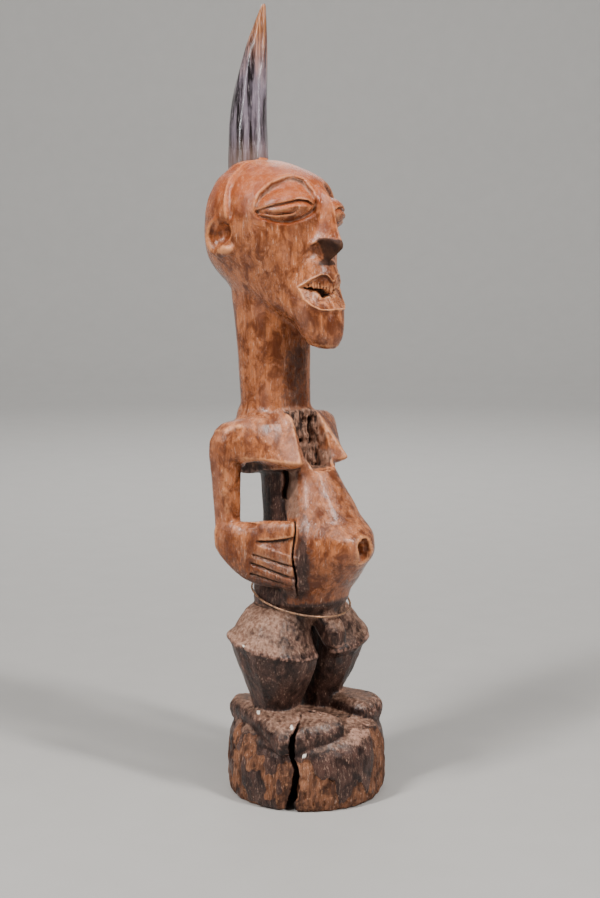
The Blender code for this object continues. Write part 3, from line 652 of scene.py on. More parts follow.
def socket_depth(x, y, z):
    """The brow's arch, cut down sharply into the face and dying out below the eye."""
    across, out = quarter(x, y)
    z = eye_height(x, z)
    edge = outline_distance(BROW, across, z + 0 * x)
    depth = (4.2 + 1.2 * (x > 0)) * ease(0.3, -3.4, edge) * ease(418, 434, z)
    rim = -0.6 * bump(edge - 1.0, 1.3) * ease(424, 432, z) * (x < 0)
    return (depth + rim) * (out > 6)


def hair_line(z):
    return 34 + 0.24 * (z - 423)


def hair_depth(x, y, z):
    """The cap of hair, a little above the face, behind a fine ridge with a shallow trough before it."""
    behind = y - hair_line(z)
    cap = -0.9 * ease(-0.5, 0.5, behind)
    ridge = -1.0 * bump(behind - 0.9, 1.1)
    trough = 1.3 * bump(behind + 3.2, 2.4)
    return (cap + ridge + trough) * ease(421, 425, z)


def chin_depth(x, y, z):
    across, out = quarter(x, y)
    line = np.interp(z, *zip(*CHIN_CREASE))
    gap = across - line
    crease = np.where(gap > 0, bump(gap, 3.2), bump(gap, 1.4))
    return 1.3 * crease * ease(338, 346, z) * (1 - ease(366, 376, z)) * (out > 5)


EAR_PATH = []
EAR_RADII = []
for i in range(13):
    turn = radians(58 + 207 * i / 12)
    EAR_PATH.append((43.0 + 2.0 * sin(pi * i / 12), 44.5 - 10.8 * cos(turn), 410.5 + 12 * sin(turn)))
    EAR_RADII.append(2.3 + 1.9 * (i / 12) ** 2)


def ear_form(x, y, z):
    rim = rod(EAR_PATH, EAR_RADII)(np.abs(x), y, z)
    lobe = egg(np.abs(x), y + (z - 400) * 0.3, z, (43.5, 38.5, 400.5), (5.2, 9.0, 4.6))
    return soft_min(rim, lobe, 2.5)


def ear_hollow(x, y, z):
    return egg(np.abs(x), y + (z - 411) * 0.25, z, (47.5, 41.5, 411.6), (9.4, 9.8, 8.2))


# Horn's seat, splits, insect holes

HORN_RADIUS = 15.2
HORN_SETBACK = 61.2
BASE_SPLIT = ((0, -12.2, 4.4), (4, -11.9, 4.0), (7, -11.3, 3.0), (11, -10.2, 2.2), (15, -9.6, 2.1),
              (24, -8.3, 2.2), (32, -7.9, 1.3), (36, -9.4, 1.4), (39, -10.6, 1.8), (44, -10.8, 1.8),
              (49, -11.2, 2.8), (52, -11.2, 2.2), (55, -10.8, 1.8), (59.4, -7.5, 1.3), (62, -5.2, 0.7),
              (66, -4.4, 0.6), (74, -3.6, 0.6), (82, -3.4, 0.5))
INSECT_HOLES = ((-17.5, -21, 1.5), (-15.5, -23.5, 1.2), (-13, -27.5, 1.3), (-10.5, -24.5, 1.1),
                (-8.5, -30, 1.5), (-6.5, -33, 1.2), (-12, -19, 1.0), (14, -30, 1.3), (9, -24, 1.0))


def split_form(x, y, z):
    """The radial split from the drum's foot up through the near foot to the ankle."""
    table = np.array(BASE_SPLIT).T
    across = (x - y) * 0.7071
    out = -(x + y) * 0.7071
    line = np.interp(z, table[0], table[1]) + 0.9 * noise(z / 5, 0, 0, 7) + 0.4 * noise(z / 1.7, 0, 0, 6)
    width = np.interp(z, table[0], table[2]) * (1 + 0.45 * noise(z / 4, out / 9, 0, 8))
    width = width * (0.35 + 0.65 * ease(26, 50, out))
    start = np.interp(z, (50, 58, 70, 82), (31, 30, 27, 31))
    return np.maximum(np.maximum(np.abs(across - line) - width, start - out), z - 83)


def make_figure_block():
    block = Block(spaced((-66, 1.0), (-48, 0.7), (2, 1.0), (66, 1)),
                  spaced((-68, 1.0), (-46, 0.7), (8, 1.0), (98, 1)),
                  spaced((-5, 0.95), (155, 0.7), (206, 0.95), (242, 0.85), (336, 0.7), (356, 0.5),
                         (390, 0.65), (412, 0.5), (440, 0.75), (471, 1)))
    block.add((-66, -66, -5), (66, 66, 66), base_form, 2)
    for outline in (NEAR_FOOT, FAR_FOOT):
        xs = [x for x, y in outline]
        block.add((min(xs) - 8, -56, 34), (max(xs) + 8, 60, 76), foot_form(outline), 2.5)
    block.relief((-60, -56, 40), (60, -18, 76), toe_depth)
    block.add((-66, -40, 44), (66, 52, 160), leg_form, 3)
    block.add((-44, -40, 120), (44, 52, 182), stacked(HIPS), 4)
    block.add((-44, -68, 132), (44, 20, 260), stacked(BELLY), 5)
    block.add((-18, -44, 106), (18, 6, 150), stacked(LOIN_FLAP), 1.5)
    block.add((-40, -14, 146), (40, 66, 270), stacked(COLUMN), 4)
    block.add((-66, -30, 236), (66, 70, 292), chest_form, 3.5)
    block.soften((-66, -32, 236), (66, 72, 291), 3)
    block.add((-66, 14, 170), (66, 54, 276), upper_arm_form, 5)
    block.carve((-50, -12, 218), (50, 64, 258), window_form, 1.8)
    block.add((-66, -34, 152), (66, 50, 214), forearm_form, 4)
    block.add((-40, -4, 266), (40, 76, 394), stacked(NECK), 4)
    block.add((-56, -44, 322), (56, 98, 471), stacked(HEAD), 6)
    block.add((-32, -44, 342), (32, 14, 402), stacked(MUZZLE), 4)
    block.add((-26, -44, 384), (26, 14, 450), nose_form, 2.6)

    block.relief((-50, -44, 412), (50, 40, 460), socket_depth)
    for side in (-1, 1):
        def eyelid(x, y, z):
            across, out = quarter(x, y)
            height = eye_height(x, z) - 0.1 * (across + 16)
            return egg(across, out, height, (-16, 15.5, 430.5), (21.3, 12.6, 11.8))
        low, high = ((-50, -40, 412), (0, 40, 450)) if side < 0 else ((0, -40, 412), (50, 40, 450))
        block.add(low, high, eyelid, 2.2)
    block.relief((-50, -44, 412), (50, 40, 450), eye_depth)
    block.relief((-34, -46, 340), (34, 8, 392), mouth_form_depth)
    block.relief((-34, -44, 334), (34, 20, 380), chin_depth)
    block.relief((-56, 14, 418), (56, 66, 471), hair_depth)
    block.add((-54, 22, 388), (54, 62, 430), ear_form, 2.0)
    block.carve((-58, 22, 396), (58, 58, 426), ear_hollow, 1.2)

    block.relief((-60, -34, 154), (60, 40, 206), hand_depth)
    block.carve((-20, -76, 172), (20, -40, 204), navel_form, 1.0)
    block.carve((-22, -46, 236), (22, 22, 292), cavity_form, 1.0)
    block.relief((-40, -40, 144), (0, 10, 210), hand_crack_depth)
    block.relief((-30, -10, 204), (-6, 18, 246), torn_side_depth)

    def horn_seat(x, y, z):
        return np.maximum(np.sqrt(x * x + (y - HORN_SETBACK) ** 2) - HORN_RADIUS * 1.03 - 0.3, 448.7 - z)
    block.carve((-20, 40, 445), (20, 82, 471), horn_seat, 0.6)
    block.carve((-60, -60, -5), (-2, -2, 84), split_form, 0.8)

    def insect_holes(x, y, z):
        best = FAR_AWAY
        for hole_x, hole_y, radius in INSECT_HOLES:
            bore = np.sqrt((x - hole_x) ** 2 + (y - hole_y) ** 2) - radius
            best = np.minimum(best, np.maximum(bore, 50 - z))
        return best
    block.carve((-24, -40, 46), (20, -12, 76), insect_holes, 0.5)
    return block


# Where the wood is polished, weathered, eaten or coated with residue, and where shade and highlights are
# painted on it

# Pale drops on the near front: across, height, radius
SPECKS = ((-2.2, 41.5, 1.3), (-11, 61, 0.9), (-35.6, 65, 1.1), (-46, 118, 0.8))


# Upper edge of the bare wood round the drum: angle, height
RAW_EDGE = ((0, 18), (110, 20), (135, 42), (150, 50), (166, 54), (184, 40), (200, 37), (216, 37),
            (227, 35), (230, 27), (245, 25), (248, 4), (256, 4), (262, 19), (266, 20), (272, 6),
            (279, 26), (286, 50), (300, 48), (320, 25), (360, 18))


def marks(points, hollow, up):
    """Shares from 0 to 1 over the surface, by place: where each worn, weathered or dirty place lies on the
    figure, and where shade and highlights are painted.
    """
    x, y, z = points.T
    across = (x - y) * 0.7071
    angle = np.degrees(np.arctan2(y, x)) % 360
    radius = np.sqrt(x * x + y * y)
    broad = noise(x / 16, y / 16, z / 22, 1)
    flakes = noise(x / 7, y / 7, z / 17, 2) + 0.5 * noise(x / 3, y / 3, z / 8, 3)
    patches = noise(x / 8, y / 8, z / 13, 13) + 0.5 * noise(x / 3.2, y / 3.2, z / 6, 14)

    wall = ease(41, 49, radius)
    limit = np.interp(angle, *zip(*RAW_EDGE)) + 2.5 * noise(x / 9, y / 9, 0, 15)
    skin = 1.5 * bump(angle - 182, 8) * bump(z - 17, 11) + 1.0 * bump(angle - 199, 4) * bump(z - 31, 6)
    raw = ease(-0.3, 0.3, np.minimum((limit - z) / 5, 0.7) + 1.3 * patches - skin) * wall * (z < 58)

    cavity = ease(16, 13, np.abs(x)) * ease(-16, -10, y) * ease(14, 10, y)
    cavity = cavity * ease(240, 244, z) * ease(288, 282, z)
    belly_front = ease(-4, -14, y) * ease(143, 148, z)
    # Darker and duller towards the bottom: weathered wood, and painted shade that darkens the lower legs.
    lower = ease(172, 150, z + 10 * broad) * (1 - belly_front)
    # Painted shade on the column inside the window, where little light falls.
    column = ease(262, 245, z) * ease(160, 172, z) * ease(27, 20, np.abs(x)) * ease(-14, -4, y)
    torn = bump(across + 11, 6) * ease(205, 214, z) * ease(246, 238, z) * (x < 0)
    band = bump(across + 3.5, 5.5) * ease(140, 165, z) * ease(236, 214, z) * (y < -10) * (x < 0)
    # Painted shade on the belly's lower, down-facing part.
    belly_underside_shade = ease(172, 146, z + 8 * flakes) * ease(134, 140, z)
    brow = outline_distance(BROW, (-np.abs(x) - y) * 0.7071, eye_height(x, z))
    on_face = (y - np.abs(x) < -6) * (y < 20)
    # Painted shade on the down-facing wall of the brow's cut.
    brow_wall_shade = ease(0.6, -0.4, brow) * ease(-4.6, -3.2, brow) * ease(424, 434, z) * on_face
    # Painted shade on the neck's front under the chin.
    throat_shade = ease(16, 8, y) * ease(-6, 2, y) * ease(276, 292, z) * ease(352, 335, z + y)
    forearm = ease(208, 180, z) * ease(148, 156, z) * ease(22, 34, np.abs(x))
    # Painted shade on the arms' inner faces within the window.
    inside = ease(224, 230, z) * ease(262, 254, z) * ease(46, 40, np.abs(x)) * ease(14, 22, y)
    # Darker, duller wood: weathering low down and on the belly's rough band, painted shade where marked
    # above, and a darkening towards the forearms' lower ends.
    weather_and_shade = np.maximum(lower, 0.95 * column) + 0.5 * band + 0.35 * belly_underside_shade + 0.35 * brow_wall_shade
    weather_and_shade = np.clip(weather_and_shade + 0.6 * throat_shade + 0.45 * forearm + inside * ease(52, 47, y), 0, 1)

    dust_and_top_light = ease(0.16, 0.9, hollow) * (1 - 0.6 * lower)
    collar = bump(z - 281 + 2 * broad, 6) * ease(5, 9, y)
    socket = ease(-2, -5, brow) * on_face
    dust_and_top_light = np.clip(dust_and_top_light + 0.4 * collar + 0.18 * socket + 0.5 * torn, 0, 1)
    # Paler on up-facing surfaces low on the figure: dirt settled there, and painted top light that keeps
    # the thighs bright.
    settled_dust_and_top_light = ease(0.15, 0.8, up) * lower
    dust_and_top_light = np.clip(dust_and_top_light + 0.65 * settled_dust_and_top_light + 0.3 * ease(110, 116, z) * ease(152, 140, z) * lower, 0, 1)
    scuffed = bump(across - 37.5, 6) * bump(z - 49, 5) * (x + y < 0)
    rub_and_highlight = ease(0.10, 0.6, -hollow) + 1.4 * scuffed * ease(0, 0.3, noise(x / 2, y / 2, z / 2, 5))
    specks = np.zeros(len(z))
    for speck_across, speck_z, size in SPECKS:
        gap = np.sqrt((across - speck_across) ** 2 + (z - speck_z) ** 2)
        specks = np.maximum(specks, ease(size + 0.5, size - 0.3, gap) * (x + y < 0))
    # Painted shade: the deeper hollows and cuts are laid near-black, less so along the brow's line.
    crevice_shade = ease(0.45, 1.15, hollow)
    facet = nose_facet(x, y, z)
    # Painted shade on the facets under the nose.
    under_nose_shade = ease(-4.4, -3.4, facet) * ease(-18, -21, y) * ease(388.5, 391, z) * ease(412, 408, z)
    under_nose_shade = under_nose_shade * (np.abs(x) < 15)
    crevice_shade = np.maximum(crevice_shade * (1 - 0.45 * ease(3, 1, brow) * (y < 20) * ease(412, 416, z)), under_nose_shade)
    # Painted shadow on the drum's wall just under the near foot's overhanging edge.
    foot_edge = outline_distance(NEAR_FOOT, x, y)
    under_foot_shadow = bump(z - ground(x, y) + FOOT_LAP + 0.9, 1.2) * ease(4, 1, np.abs(foot_edge)) * wall
    crevice_shade = np.maximum(crevice_shade, 0.9 * under_foot_shadow)
    # Painted highlight: the hair's ridge is laid pale, together with the rubbed pale of other ridges.
    hair_ridge_highlight = bump(y - hair_line(z) - 0.9, 1.3) * ease(421, 425, z)
    rub_and_highlight = np.maximum(rub_and_highlight, 1.1 * hair_ridge_highlight)
    # The head's up-facing top is painted a deeper orange to offset the pale sheen the lights leave there.
    head_top_sheen_offset = ease(-0.2, 0.6, up) * ease(395, 425, z)
    crack, width = (np.interp(z, *zip(*((row[0], row[i]) for row in BASE_SPLIT))) for i in (1, 2))
    # Painted shade inside the drum's split.
    split = ease(0.5, -0.3, np.abs(across - crack) - width) * ease(60, 50, z) * wall * (x < 0)
    return {"raw": raw, "cavity": cavity, "weather_and_shade": weather_and_shade, "dust_and_top_light": dust_and_top_light, "rub_and_highlight": rub_and_highlight, "head_top_sheen_offset": head_top_sheen_offset,
            "split": split, "torn": torn, "crevice_shade": crevice_shade, "specks": specks}


def worked(points, wear_and_shade):
    """How far the finished surface stands out: blade marks, grain, erosion and chips."""
    x, y, z = points.T
    blade = 0.32 * noise(x / 11, y / 11, z / 15, 4) + 0.13 * noise(x / 4.5, y / 4.5, z / 7, 5)
    grain = 0.10 * noise(x / 1.5, y / 1.5, z / 11, 6)
    coarse = noise(x / 1.9, y / 1.9, z / 9, 7)
    flake = noise(x / 5, y / 5, z / 12, 8)
    pits = np.maximum(0, noise(x / 2.4, y / 2.4, z / 6, 9) - 0.25)
    eaten = wear_and_shade["raw"] * (-0.7 + 0.75 * coarse + 0.8 * flake - 2.6 * pits)
    rough = wear_and_shade["cavity"] * (0.5 * noise(x / 1.6, y / 1.6, z / 2.4, 3) + 0.3 * coarse)
    weathered = wear_and_shade["weather_and_shade"] * (0.16 * coarse - 0.5 * np.maximum(0, noise(x / 3, y / 3, z / 6, 10) - 0.5))
    knee = bump(leg_level(x, y, z) - KNEE_LEVEL, 1.6) * ease(160, 130, z)
    chips = -0.9 * knee * np.maximum(0, noise(x / 3.2, y / 3.2, z / 3.2, 12) - 0.1)
    calm = 1 - 0.7 * ease(345, 352, z) * ease(20, 0, y)
    return (blade + grain) * calm + eaten + rough + weathered + chips


def mesh_of(name, points, faces):
    mesh = bpy.data.meshes.new(name)
    mesh.vertices.add(len(points))
    mesh.vertices.foreach_set("co", np.ascontiguousarray(points, np.float32).ravel())
    mesh.loops.add(faces.size)
    mesh.loops.foreach_set("vertex_index", faces.astype(np.int32).ravel())
    mesh.polygons.add(len(faces))
    mesh.polygons.foreach_set("loop_start", np.arange(0, faces.size, faces.shape[1], dtype=np.int32))
    mesh.update(calc_edges=True)
    mesh.validate()
    return mesh


def ring_faces(rings, sides, closed=False):
    """Four-sided faces between neighbouring rings of points."""
    faces = []
    for i in range(rings if closed else rings - 1):
        low, high = i * sides, (i + 1) % rings * sides
        for j in range(sides):
            k = (j + 1) % sides
            faces.append((low + j, low + k, high + k, high + j))
    return faces


def turned(faces):
    """The same faces, each facing the other way."""
    return [(a, d, c, b) for a, b, c, d in faces]


def corners_of(mesh):
    values = np.empty(len(mesh.vertices) * 3, np.float32)
    mesh.vertices.foreach_get("co", values)
    return values.reshape(-1, 3)


def make_piece(name, mesh):
    mesh.shade_smooth()
    piece = bpy.data.objects.new(name, mesh)
    bpy.context.scene.collection.objects.link(piece)
    return piece


def thinned(piece, most):
    """The same mesh with its flat stretches in fewer, larger triangles."""
    triangles = sum(len(face.vertices) - 2 for face in piece.data.polygons)
    if triangles > most:
        less = piece.modifiers.new("fewer", "DECIMATE")
        less.ratio = most / triangles
        less.use_collapse_triangulate = True
        drawn = piece.evaluated_get(bpy.context.evaluated_depsgraph_get())
        mesh = bpy.data.meshes.new_from_object(drawn)
        piece.modifiers.clear()
        piece.data = mesh
    return piece


HOLLOW_REACH = 8              # rounds of blurring that tell hollows from ridges
UNDERSIDE = 3                 # mm above the floor below which the wood stays as flat as it was cut


def make_carving():
    block = make_figure_block()
    points, faces = block.skin()
    hollows = blurred(block.field, HOLLOW_REACH) - block.field
    mesh = mesh_of("carving", points * MM, faces)
    outward = np.empty(len(points) * 3, np.float32)
    mesh.vertex_normals.foreach_get("vector", outward)
    outward = outward.reshape(-1, 3)
    wear_and_shade = marks(points, -block.sample(hollows, points), outward[:, 2])
    moved = points + outward * worked(points, wear_and_shade)[:, None]
    moved[:, 2] = np.where(points[:, 2] < UNDERSIDE, points[:, 2], moved[:, 2])
    mesh.vertices.foreach_set("co", (moved * MM).astype(np.float32).ravel())
    carving = thinned(make_piece("carving", mesh), MOST_TRIANGLES)
    carving.data.shade_smooth()
    points = corners_of(carving.data) / MM
    outward = np.empty(len(points) * 3, np.float32)
    carving.data.vertex_normals.foreach_get("vector", outward)
    for name, values in marks(points, -block.sample(hollows, points), outward[2::3]).items():
        layer = carving.data.attributes.new(name, "FLOAT", "POINT")
        layer.data.foreach_set("value", np.asarray(values, np.float32))
    return carving


# Horn and wire

HORN_LENGTH = 114.0
HORN_FOOT = SOLES + 406       # height at which it leaves the crown
HORN_SUNK = 12.5              # mm of it down in the head
HORN_BEND = 17                # mm that its tip leans forward
HORN_SIDES = 72
HORN_RINGS = 150


def horn_points():
    rows = []
    for i in range(HORN_RINGS):
        share = -HORN_SUNK / HORN_LENGTH + (1 + HORN_SUNK / HORN_LENGTH) * i / (HORN_RINGS - 1)
        lift = max(0.0, share)
        radius = HORN_RADIUS * max(0.13, 1 - 0.12 * lift - 0.80 * lift ** 2.4)
        forward = HORN_BEND * max(0.0, share - 0.25) ** 1.4 / 0.75 ** 1.4
        if share > 0.97:
            radius *= max(0.25, 1 - ((share - 0.97) / 0.03) ** 2 * 0.75)
        facet = 0.030 * min(1.0, max(0.0, share) * 12)
        for j in range(HORN_SIDES):
            angle = 2 * pi * j / HORN_SIDES
            plane = abs(((5 * angle + 0.8) / (2 * pi)) % 1 - 0.5) * 2
            reach = radius * (1 - facet * 0.4 + facet * (plane - 0.5) * 1.3)
            reach += 0.12 * sin(9 * angle + 14 * share) * min(1.0, lift * 8)
            rows.append((reach * cos(angle), HORN_SETBACK - forward + reach * sin(angle),
                         HORN_FOOT + HORN_LENGTH * share))
    return np.array(rows)


def make_horn():
    points = horn_points()
    points[:, 0] += 0.18 * noise(points[:, 0] / 6, points[:, 1] / 6, points[:, 2] / 16, 2)
    faces = ring_faces(HORN_RINGS, HORN_SIDES)
    rings = [list(range(HORN_SIDES)), list(range((HORN_RINGS - 1) * HORN_SIDES, HORN_RINGS * HORN_SIDES))]
    middles = [points[ring].mean(axis=0) for ring in rings]
    points = np.vstack([points, middles])
    for ring, middle, order in zip(rings, (len(points) - 2, len(points) - 1), (-1, 1)):
        for j in range(HORN_SIDES):
            pair = (ring[j], ring[(j + 1) % HORN_SIDES])[::order]
            faces.append((*pair, middle))
    mesh = bpy.data.meshes.new("horn_keratin")
    mesh.from_pydata((points * MM).tolist(), [], faces)
    mesh.update()
    return make_piece("horn_keratin", mesh)


WIRE_RADIUS = 0.8
WIRE_REACH = 35.2 + 0.4 + WIRE_RADIUS  # hips' half depth, the gap and the wire's own radius
WIRE_LEVEL = SOLES + 89
WIRE_SETBACK = 6
WIRE_TILT = radians(14.8)
WIRE_SIDES = 10
WIRE_STEPS = 260


def make_wire():
    """A thin closed hoop, not quite true, that hangs lower in front."""
    rows = []
    for i in range(WIRE_STEPS):
        angle = 2 * pi * i / WIRE_STEPS
        wave = 0.16 * sin(5 * angle + 1) + 0.10 * sin(11 * angle)
        out = (WIRE_REACH * 1.01 + wave) * sin(angle)
        height = WIRE_LEVEL + out * tan(WIRE_TILT) + 0.25 * sin(3 * angle + 2)
        centre = Vector(((WIRE_REACH + wave) * cos(angle), WIRE_SETBACK + out, height))
        away = Vector((cos(angle), sin(angle), 0))
        radius = WIRE_RADIUS + 0.05 * sin(23 * angle) + 0.04 * sin(41 * angle + 1)
        for j in range(WIRE_SIDES):
            turn = 2 * pi * j / WIRE_SIDES
            rows.append(centre + away * radius * cos(turn) + Vector((0, 0, radius * sin(turn))))
    faces = turned(ring_faces(WIRE_STEPS, WIRE_SIDES, closed=True))
    mesh = bpy.data.meshes.new("hip_wire")
    mesh.from_pydata([tuple(row * MM) for row in rows], [], faces)
    mesh.update()
    return make_piece("hip_wire", mesh)


# Finishes

class Tone:
    """A socket whose sums and products make the nodes for them."""

    def __init__(self, finish, socket):
        self.finish = finish
        self.socket = socket

    def math(self, operation, *others):
        return self.finish.node("Math", {"operation": operation}, dict(enumerate((self, *others))))

    def __add__(self, other):
        return self.math("ADD", other)

    def __sub__(self, other):
        return self.math("SUBTRACT", other)

    def __rsub__(self, other):
        return self.finish.node("Math", {"operation": "SUBTRACT"}, {0: other, 1: self})

    def __mul__(self, other):
        return self.math("MULTIPLY", other)

    def clamp(self):
        return self.finish.node("Clamp", {}, {"Value": self})

    __radd__ = __add__
    __rmul__ = __mul__


class Finish:
    """A material in the making."""

    def __init__(self, name, **constants):
        self.material = bpy.data.materials.new(name)
        self.material.use_nodes = True
        self.tree = self.material.node_tree
        self.tree.nodes.clear()
        self.shader = self.tree.nodes.new("ShaderNodeBsdfPrincipled")
        output = self.tree.nodes.new("ShaderNodeOutputMaterial")
        self.tree.links.new(self.shader.outputs[0], output.inputs["Surface"])
        for socket, value in constants.items():
            self.shader.inputs[socket.replace("_", " ")].default_value = value
        self.place = self.node("TexCoord", {}, {}, "Object")

    def node(self, kind, settings, inputs, output=0):
        made = self.tree.nodes.new("ShaderNode" + kind)
        for key, value in settings.items():
            if key == "stops":
                for i, (at, colour) in enumerate(value):
                    stop = made.color_ramp.elements[i] if i < 2 else made.color_ramp.elements.new(at)
                    stop.position = at
                    stop.color = colour
            else:
                setattr(made, key, value)
        for key, value in inputs.items():
            if isinstance(value, Tone):
                self.tree.links.new(value.socket, made.inputs[key])
            else:
                made.inputs[key].default_value = value
        return Tone(self, made.outputs[output])

    def share(self, name):
        """One of the carving's shares of weathering, dirt, painted shade and painted highlight."""
        return self.node("Attribute", {"attribute_name": name}, {}, "Fac")

    def stretched(self, x, y, z):
        return self.node("Mapping", {}, {"Vector": self.place, "Scale": (x, y, z)})

    def noise(self, size, stretch=(1, 1, 1), detail=3.0, rough=0.55, warp=0.0):
        """Noise whose lumps are about size mm, from 0 to 1."""
        place = self.stretched(*(value / (size * MM) for value in stretch))
        inputs = {"Vector": place, "Scale": 1.0, "Detail": detail, "Roughness": rough, "Distortion": warp}
        return self.node("TexNoise", {}, inputs, "Fac")

    def between(self, value, low, high):
        """0 below low, 1 above high, smooth between; low may be above high."""
        return self.node("MapRange", {"interpolation_type": "SMOOTHSTEP"},
                         {"Value": value, "From Min": low, "From Max": high}, "Result")

    def mix(self, share, first, second):
        return self.node("Mix", {"data_type": "RGBA"}, {0: share, 6: first, 7: second}, 2)

    def laid(self, base, *coats):
        """The base with shades laid over it, each where a value rises from low to high."""
        for value, low, high, most, shade in coats:
            base = self.mix(self.between(value, low, high) * most, base, colour(*shade))
        return base

    def feed(self, **links):
        for socket, tone in links.items():
            self.tree.links.new(tone.socket, self.shader.inputs[socket.replace("_", " ")])

    def bump(self, height, distance):
        normal = self.node("Bump", {}, {"Height": height, "Distance": distance * MM, "Strength": 1.0})
        self.tree.links.new(normal.socket, self.shader.inputs["Normal"])


def colour(red, green, blue):
    """A colour as the eye reads it, 0 to 255, turned to light."""
    return (*((value / 255 / 12.92 if value <= 10 else ((value / 255 + 0.055) / 1.055) ** 2.4)
              for value in (red, green, blue)), 1.0)


def worn_wood_and_painted_shade():
    wood = Finish("worn_wood_and_painted_shade", IOR=1.42, Coat_Roughness=0.16, Specular_IOR_Level=0.36)
    raw, cavity, weather_and_shade, dust_and_top_light, rub_and_highlight, head_top_sheen_offset, split, torn, crevice_shade, specks = (
        wood.share(name) for name in
        ("raw", "cavity", "weather_and_shade", "dust_and_top_light", "rub_and_highlight", "head_top_sheen_offset", "split", "torn", "crevice_shade", "specks"))
    broad = wood.noise(26, (1, 1, 0.6), 2.0)
    blotch = wood.noise(9, (1, 1, 0.7), 4.0, 0.62, 0.6)
    fleck = wood.noise(2.6, (1, 1, 0.8), 3.0, 0.6)
    fibre = wood.noise(1.1, (1, 1, 0.10), 3.0, 0.6)
    streak = wood.noise(3.2, (1, 1, 0.07), 3.0, 0.6)
    speck = wood.noise(0.8, (1, 1, 0.6), 2.0)
    scratch = wood.noise(0.9, (1, 1, 0.16), 3.0, 0.65, 0.8)

    tan_wood = wood.mix(wood.between(blotch, 0.34, 0.66), colour(104, 55, 32), colour(188, 115, 72))
    # Pale of rubbed ridges, with the painted highlight on the hair's ridge, over random blotches and
    # flecks.
    worn = rub_and_highlight * 0.8 + (blotch - 0.5) * 0.8 + (fleck - 0.5) * 1.2
    tan_wood = wood.laid(tan_wood, (streak, 0.42, 0.7, 0.5, (86, 46, 30)),
                         (broad, 0.5, 0.72, 0.6, (162, 106, 82)), (fibre, 0.52, 0.72, 0.45, (70, 35, 22)),
                         (fleck, 0.60, 0.72, 0.5, (60, 32, 24)), (worn, 0.2, 0.9, 0.7, (220, 150, 102)))
    # Deeper orange on the head's top, painted to offset the lights' sheen there.
    tan_wood = wood.mix(head_top_sheen_offset * 0.6, tan_wood, colour(168, 80, 38))

    # The darker, duller wood, for weathered places and for painted shade.
    weathered_and_shaded_wood = wood.mix(wood.between(blotch, 0.36, 0.66), colour(36, 23, 20), colour(84, 58, 50))
    worn = rub_and_highlight * 0.6 + (blotch - 0.5) * 1.5 + (fleck - 0.5) * 1.6
    weathered_and_shaded_wood = wood.laid(weathered_and_shaded_wood, (fleck, 0.54, 0.72, 0.28, (140, 104, 92)),
                     (streak, 0.5, 0.72, 0.6, (36, 23, 19)), (worn, 0.35, 0.95, 0.7, (176, 134, 116)))

    light = wood.between(blotch + (streak - 0.5) * 0.4, 0.34, 0.66)
    bare = wood.mix(light, colour(66, 41, 30), colour(140, 92, 65))
    bare = wood.laid(bare, (fibre, 0.5, 0.68, 0.55, (46, 28, 20)), (fleck, 0.58, 0.7, 0.45, (186, 134, 98)))

    eaten = wood.mix(wood.between(streak, 0.38, 0.62), colour(56, 37, 29), colour(158, 116, 94))
    eaten = wood.laid(eaten, (fleck, 0.5, 0.68, 0.6, (40, 24, 18)))

    # Pale residue colour, laid in hollows as real residue and on up-facing lower surfaces as painted top
    # light.
    residue_and_top_light_colour = wood.mix(wood.between(fleck, 0.35, 0.65), colour(136, 94, 72), colour(192, 152, 128))
    edge_noise = (blotch - 0.5) * 0.9 + (fleck - 0.5) * 0.7
    base = wood.mix(wood.between(weather_and_shade + edge_noise, 0.25, 0.75), tan_wood, weathered_and_shaded_wood)
    residue_and_top_light_share = wood.between(dust_and_top_light + edge_noise * 0.9, 0.2, 1.05) * 0.6
    base = wood.mix(residue_and_top_light_share, base, residue_and_top_light_colour)
    base = wood.laid(base, (torn + edge_noise, 0.35, 0.7, 0.8, (128, 98, 82)))
    bare_share = wood.between(raw + edge_noise * 0.6, 0.34, 0.58)
    base = wood.mix(bare_share, base, bare)
    base = wood.mix(wood.between(cavity, 0.3, 0.8), base, eaten)
    scuffs = wood.between(scratch, 0.58, 0.66) * wood.between(blotch, 0.40, 0.58)
    base = wood.mix(scuffs * 0.5, base, colour(214, 178, 156))
    # Painted shade near-black in hollows, cuts, under the nose and under the near foot; painted shade
    # inside the drum's split; pale specks.
    base = wood.laid(base, (crevice_shade + (fleck - 0.5) * 0.4, 0.15, 0.75, 0.88, (30, 17, 12)),
                     (split, 0.3, 0.9, 0.9, (18, 12, 9)), (specks, 0.3, 0.7, 1.0, (236, 226, 214)))

    dry = (bare_share + cavity + residue_and_top_light_share * 0.8 + weather_and_shade * 0.35 + crevice_shade).clamp()
    rough = 0.25 + dry * 0.45 + (fleck - 0.5) * 0.55 + (blotch - 0.5) * 0.45 + scuffs * 0.15
    wood.feed(Base_Color=base, Roughness=rough.clamp(), Coat_Weight=((1 - dry) * 0.14).clamp())
    height = fibre * (0.4 + dry * 0.5) + fleck * 0.5 + streak * (0.3 + dry * 0.9)
    height = height + speck * 0.25 + scratch * 0.25
    wood.bump(height, 0.6)
    return wood.material


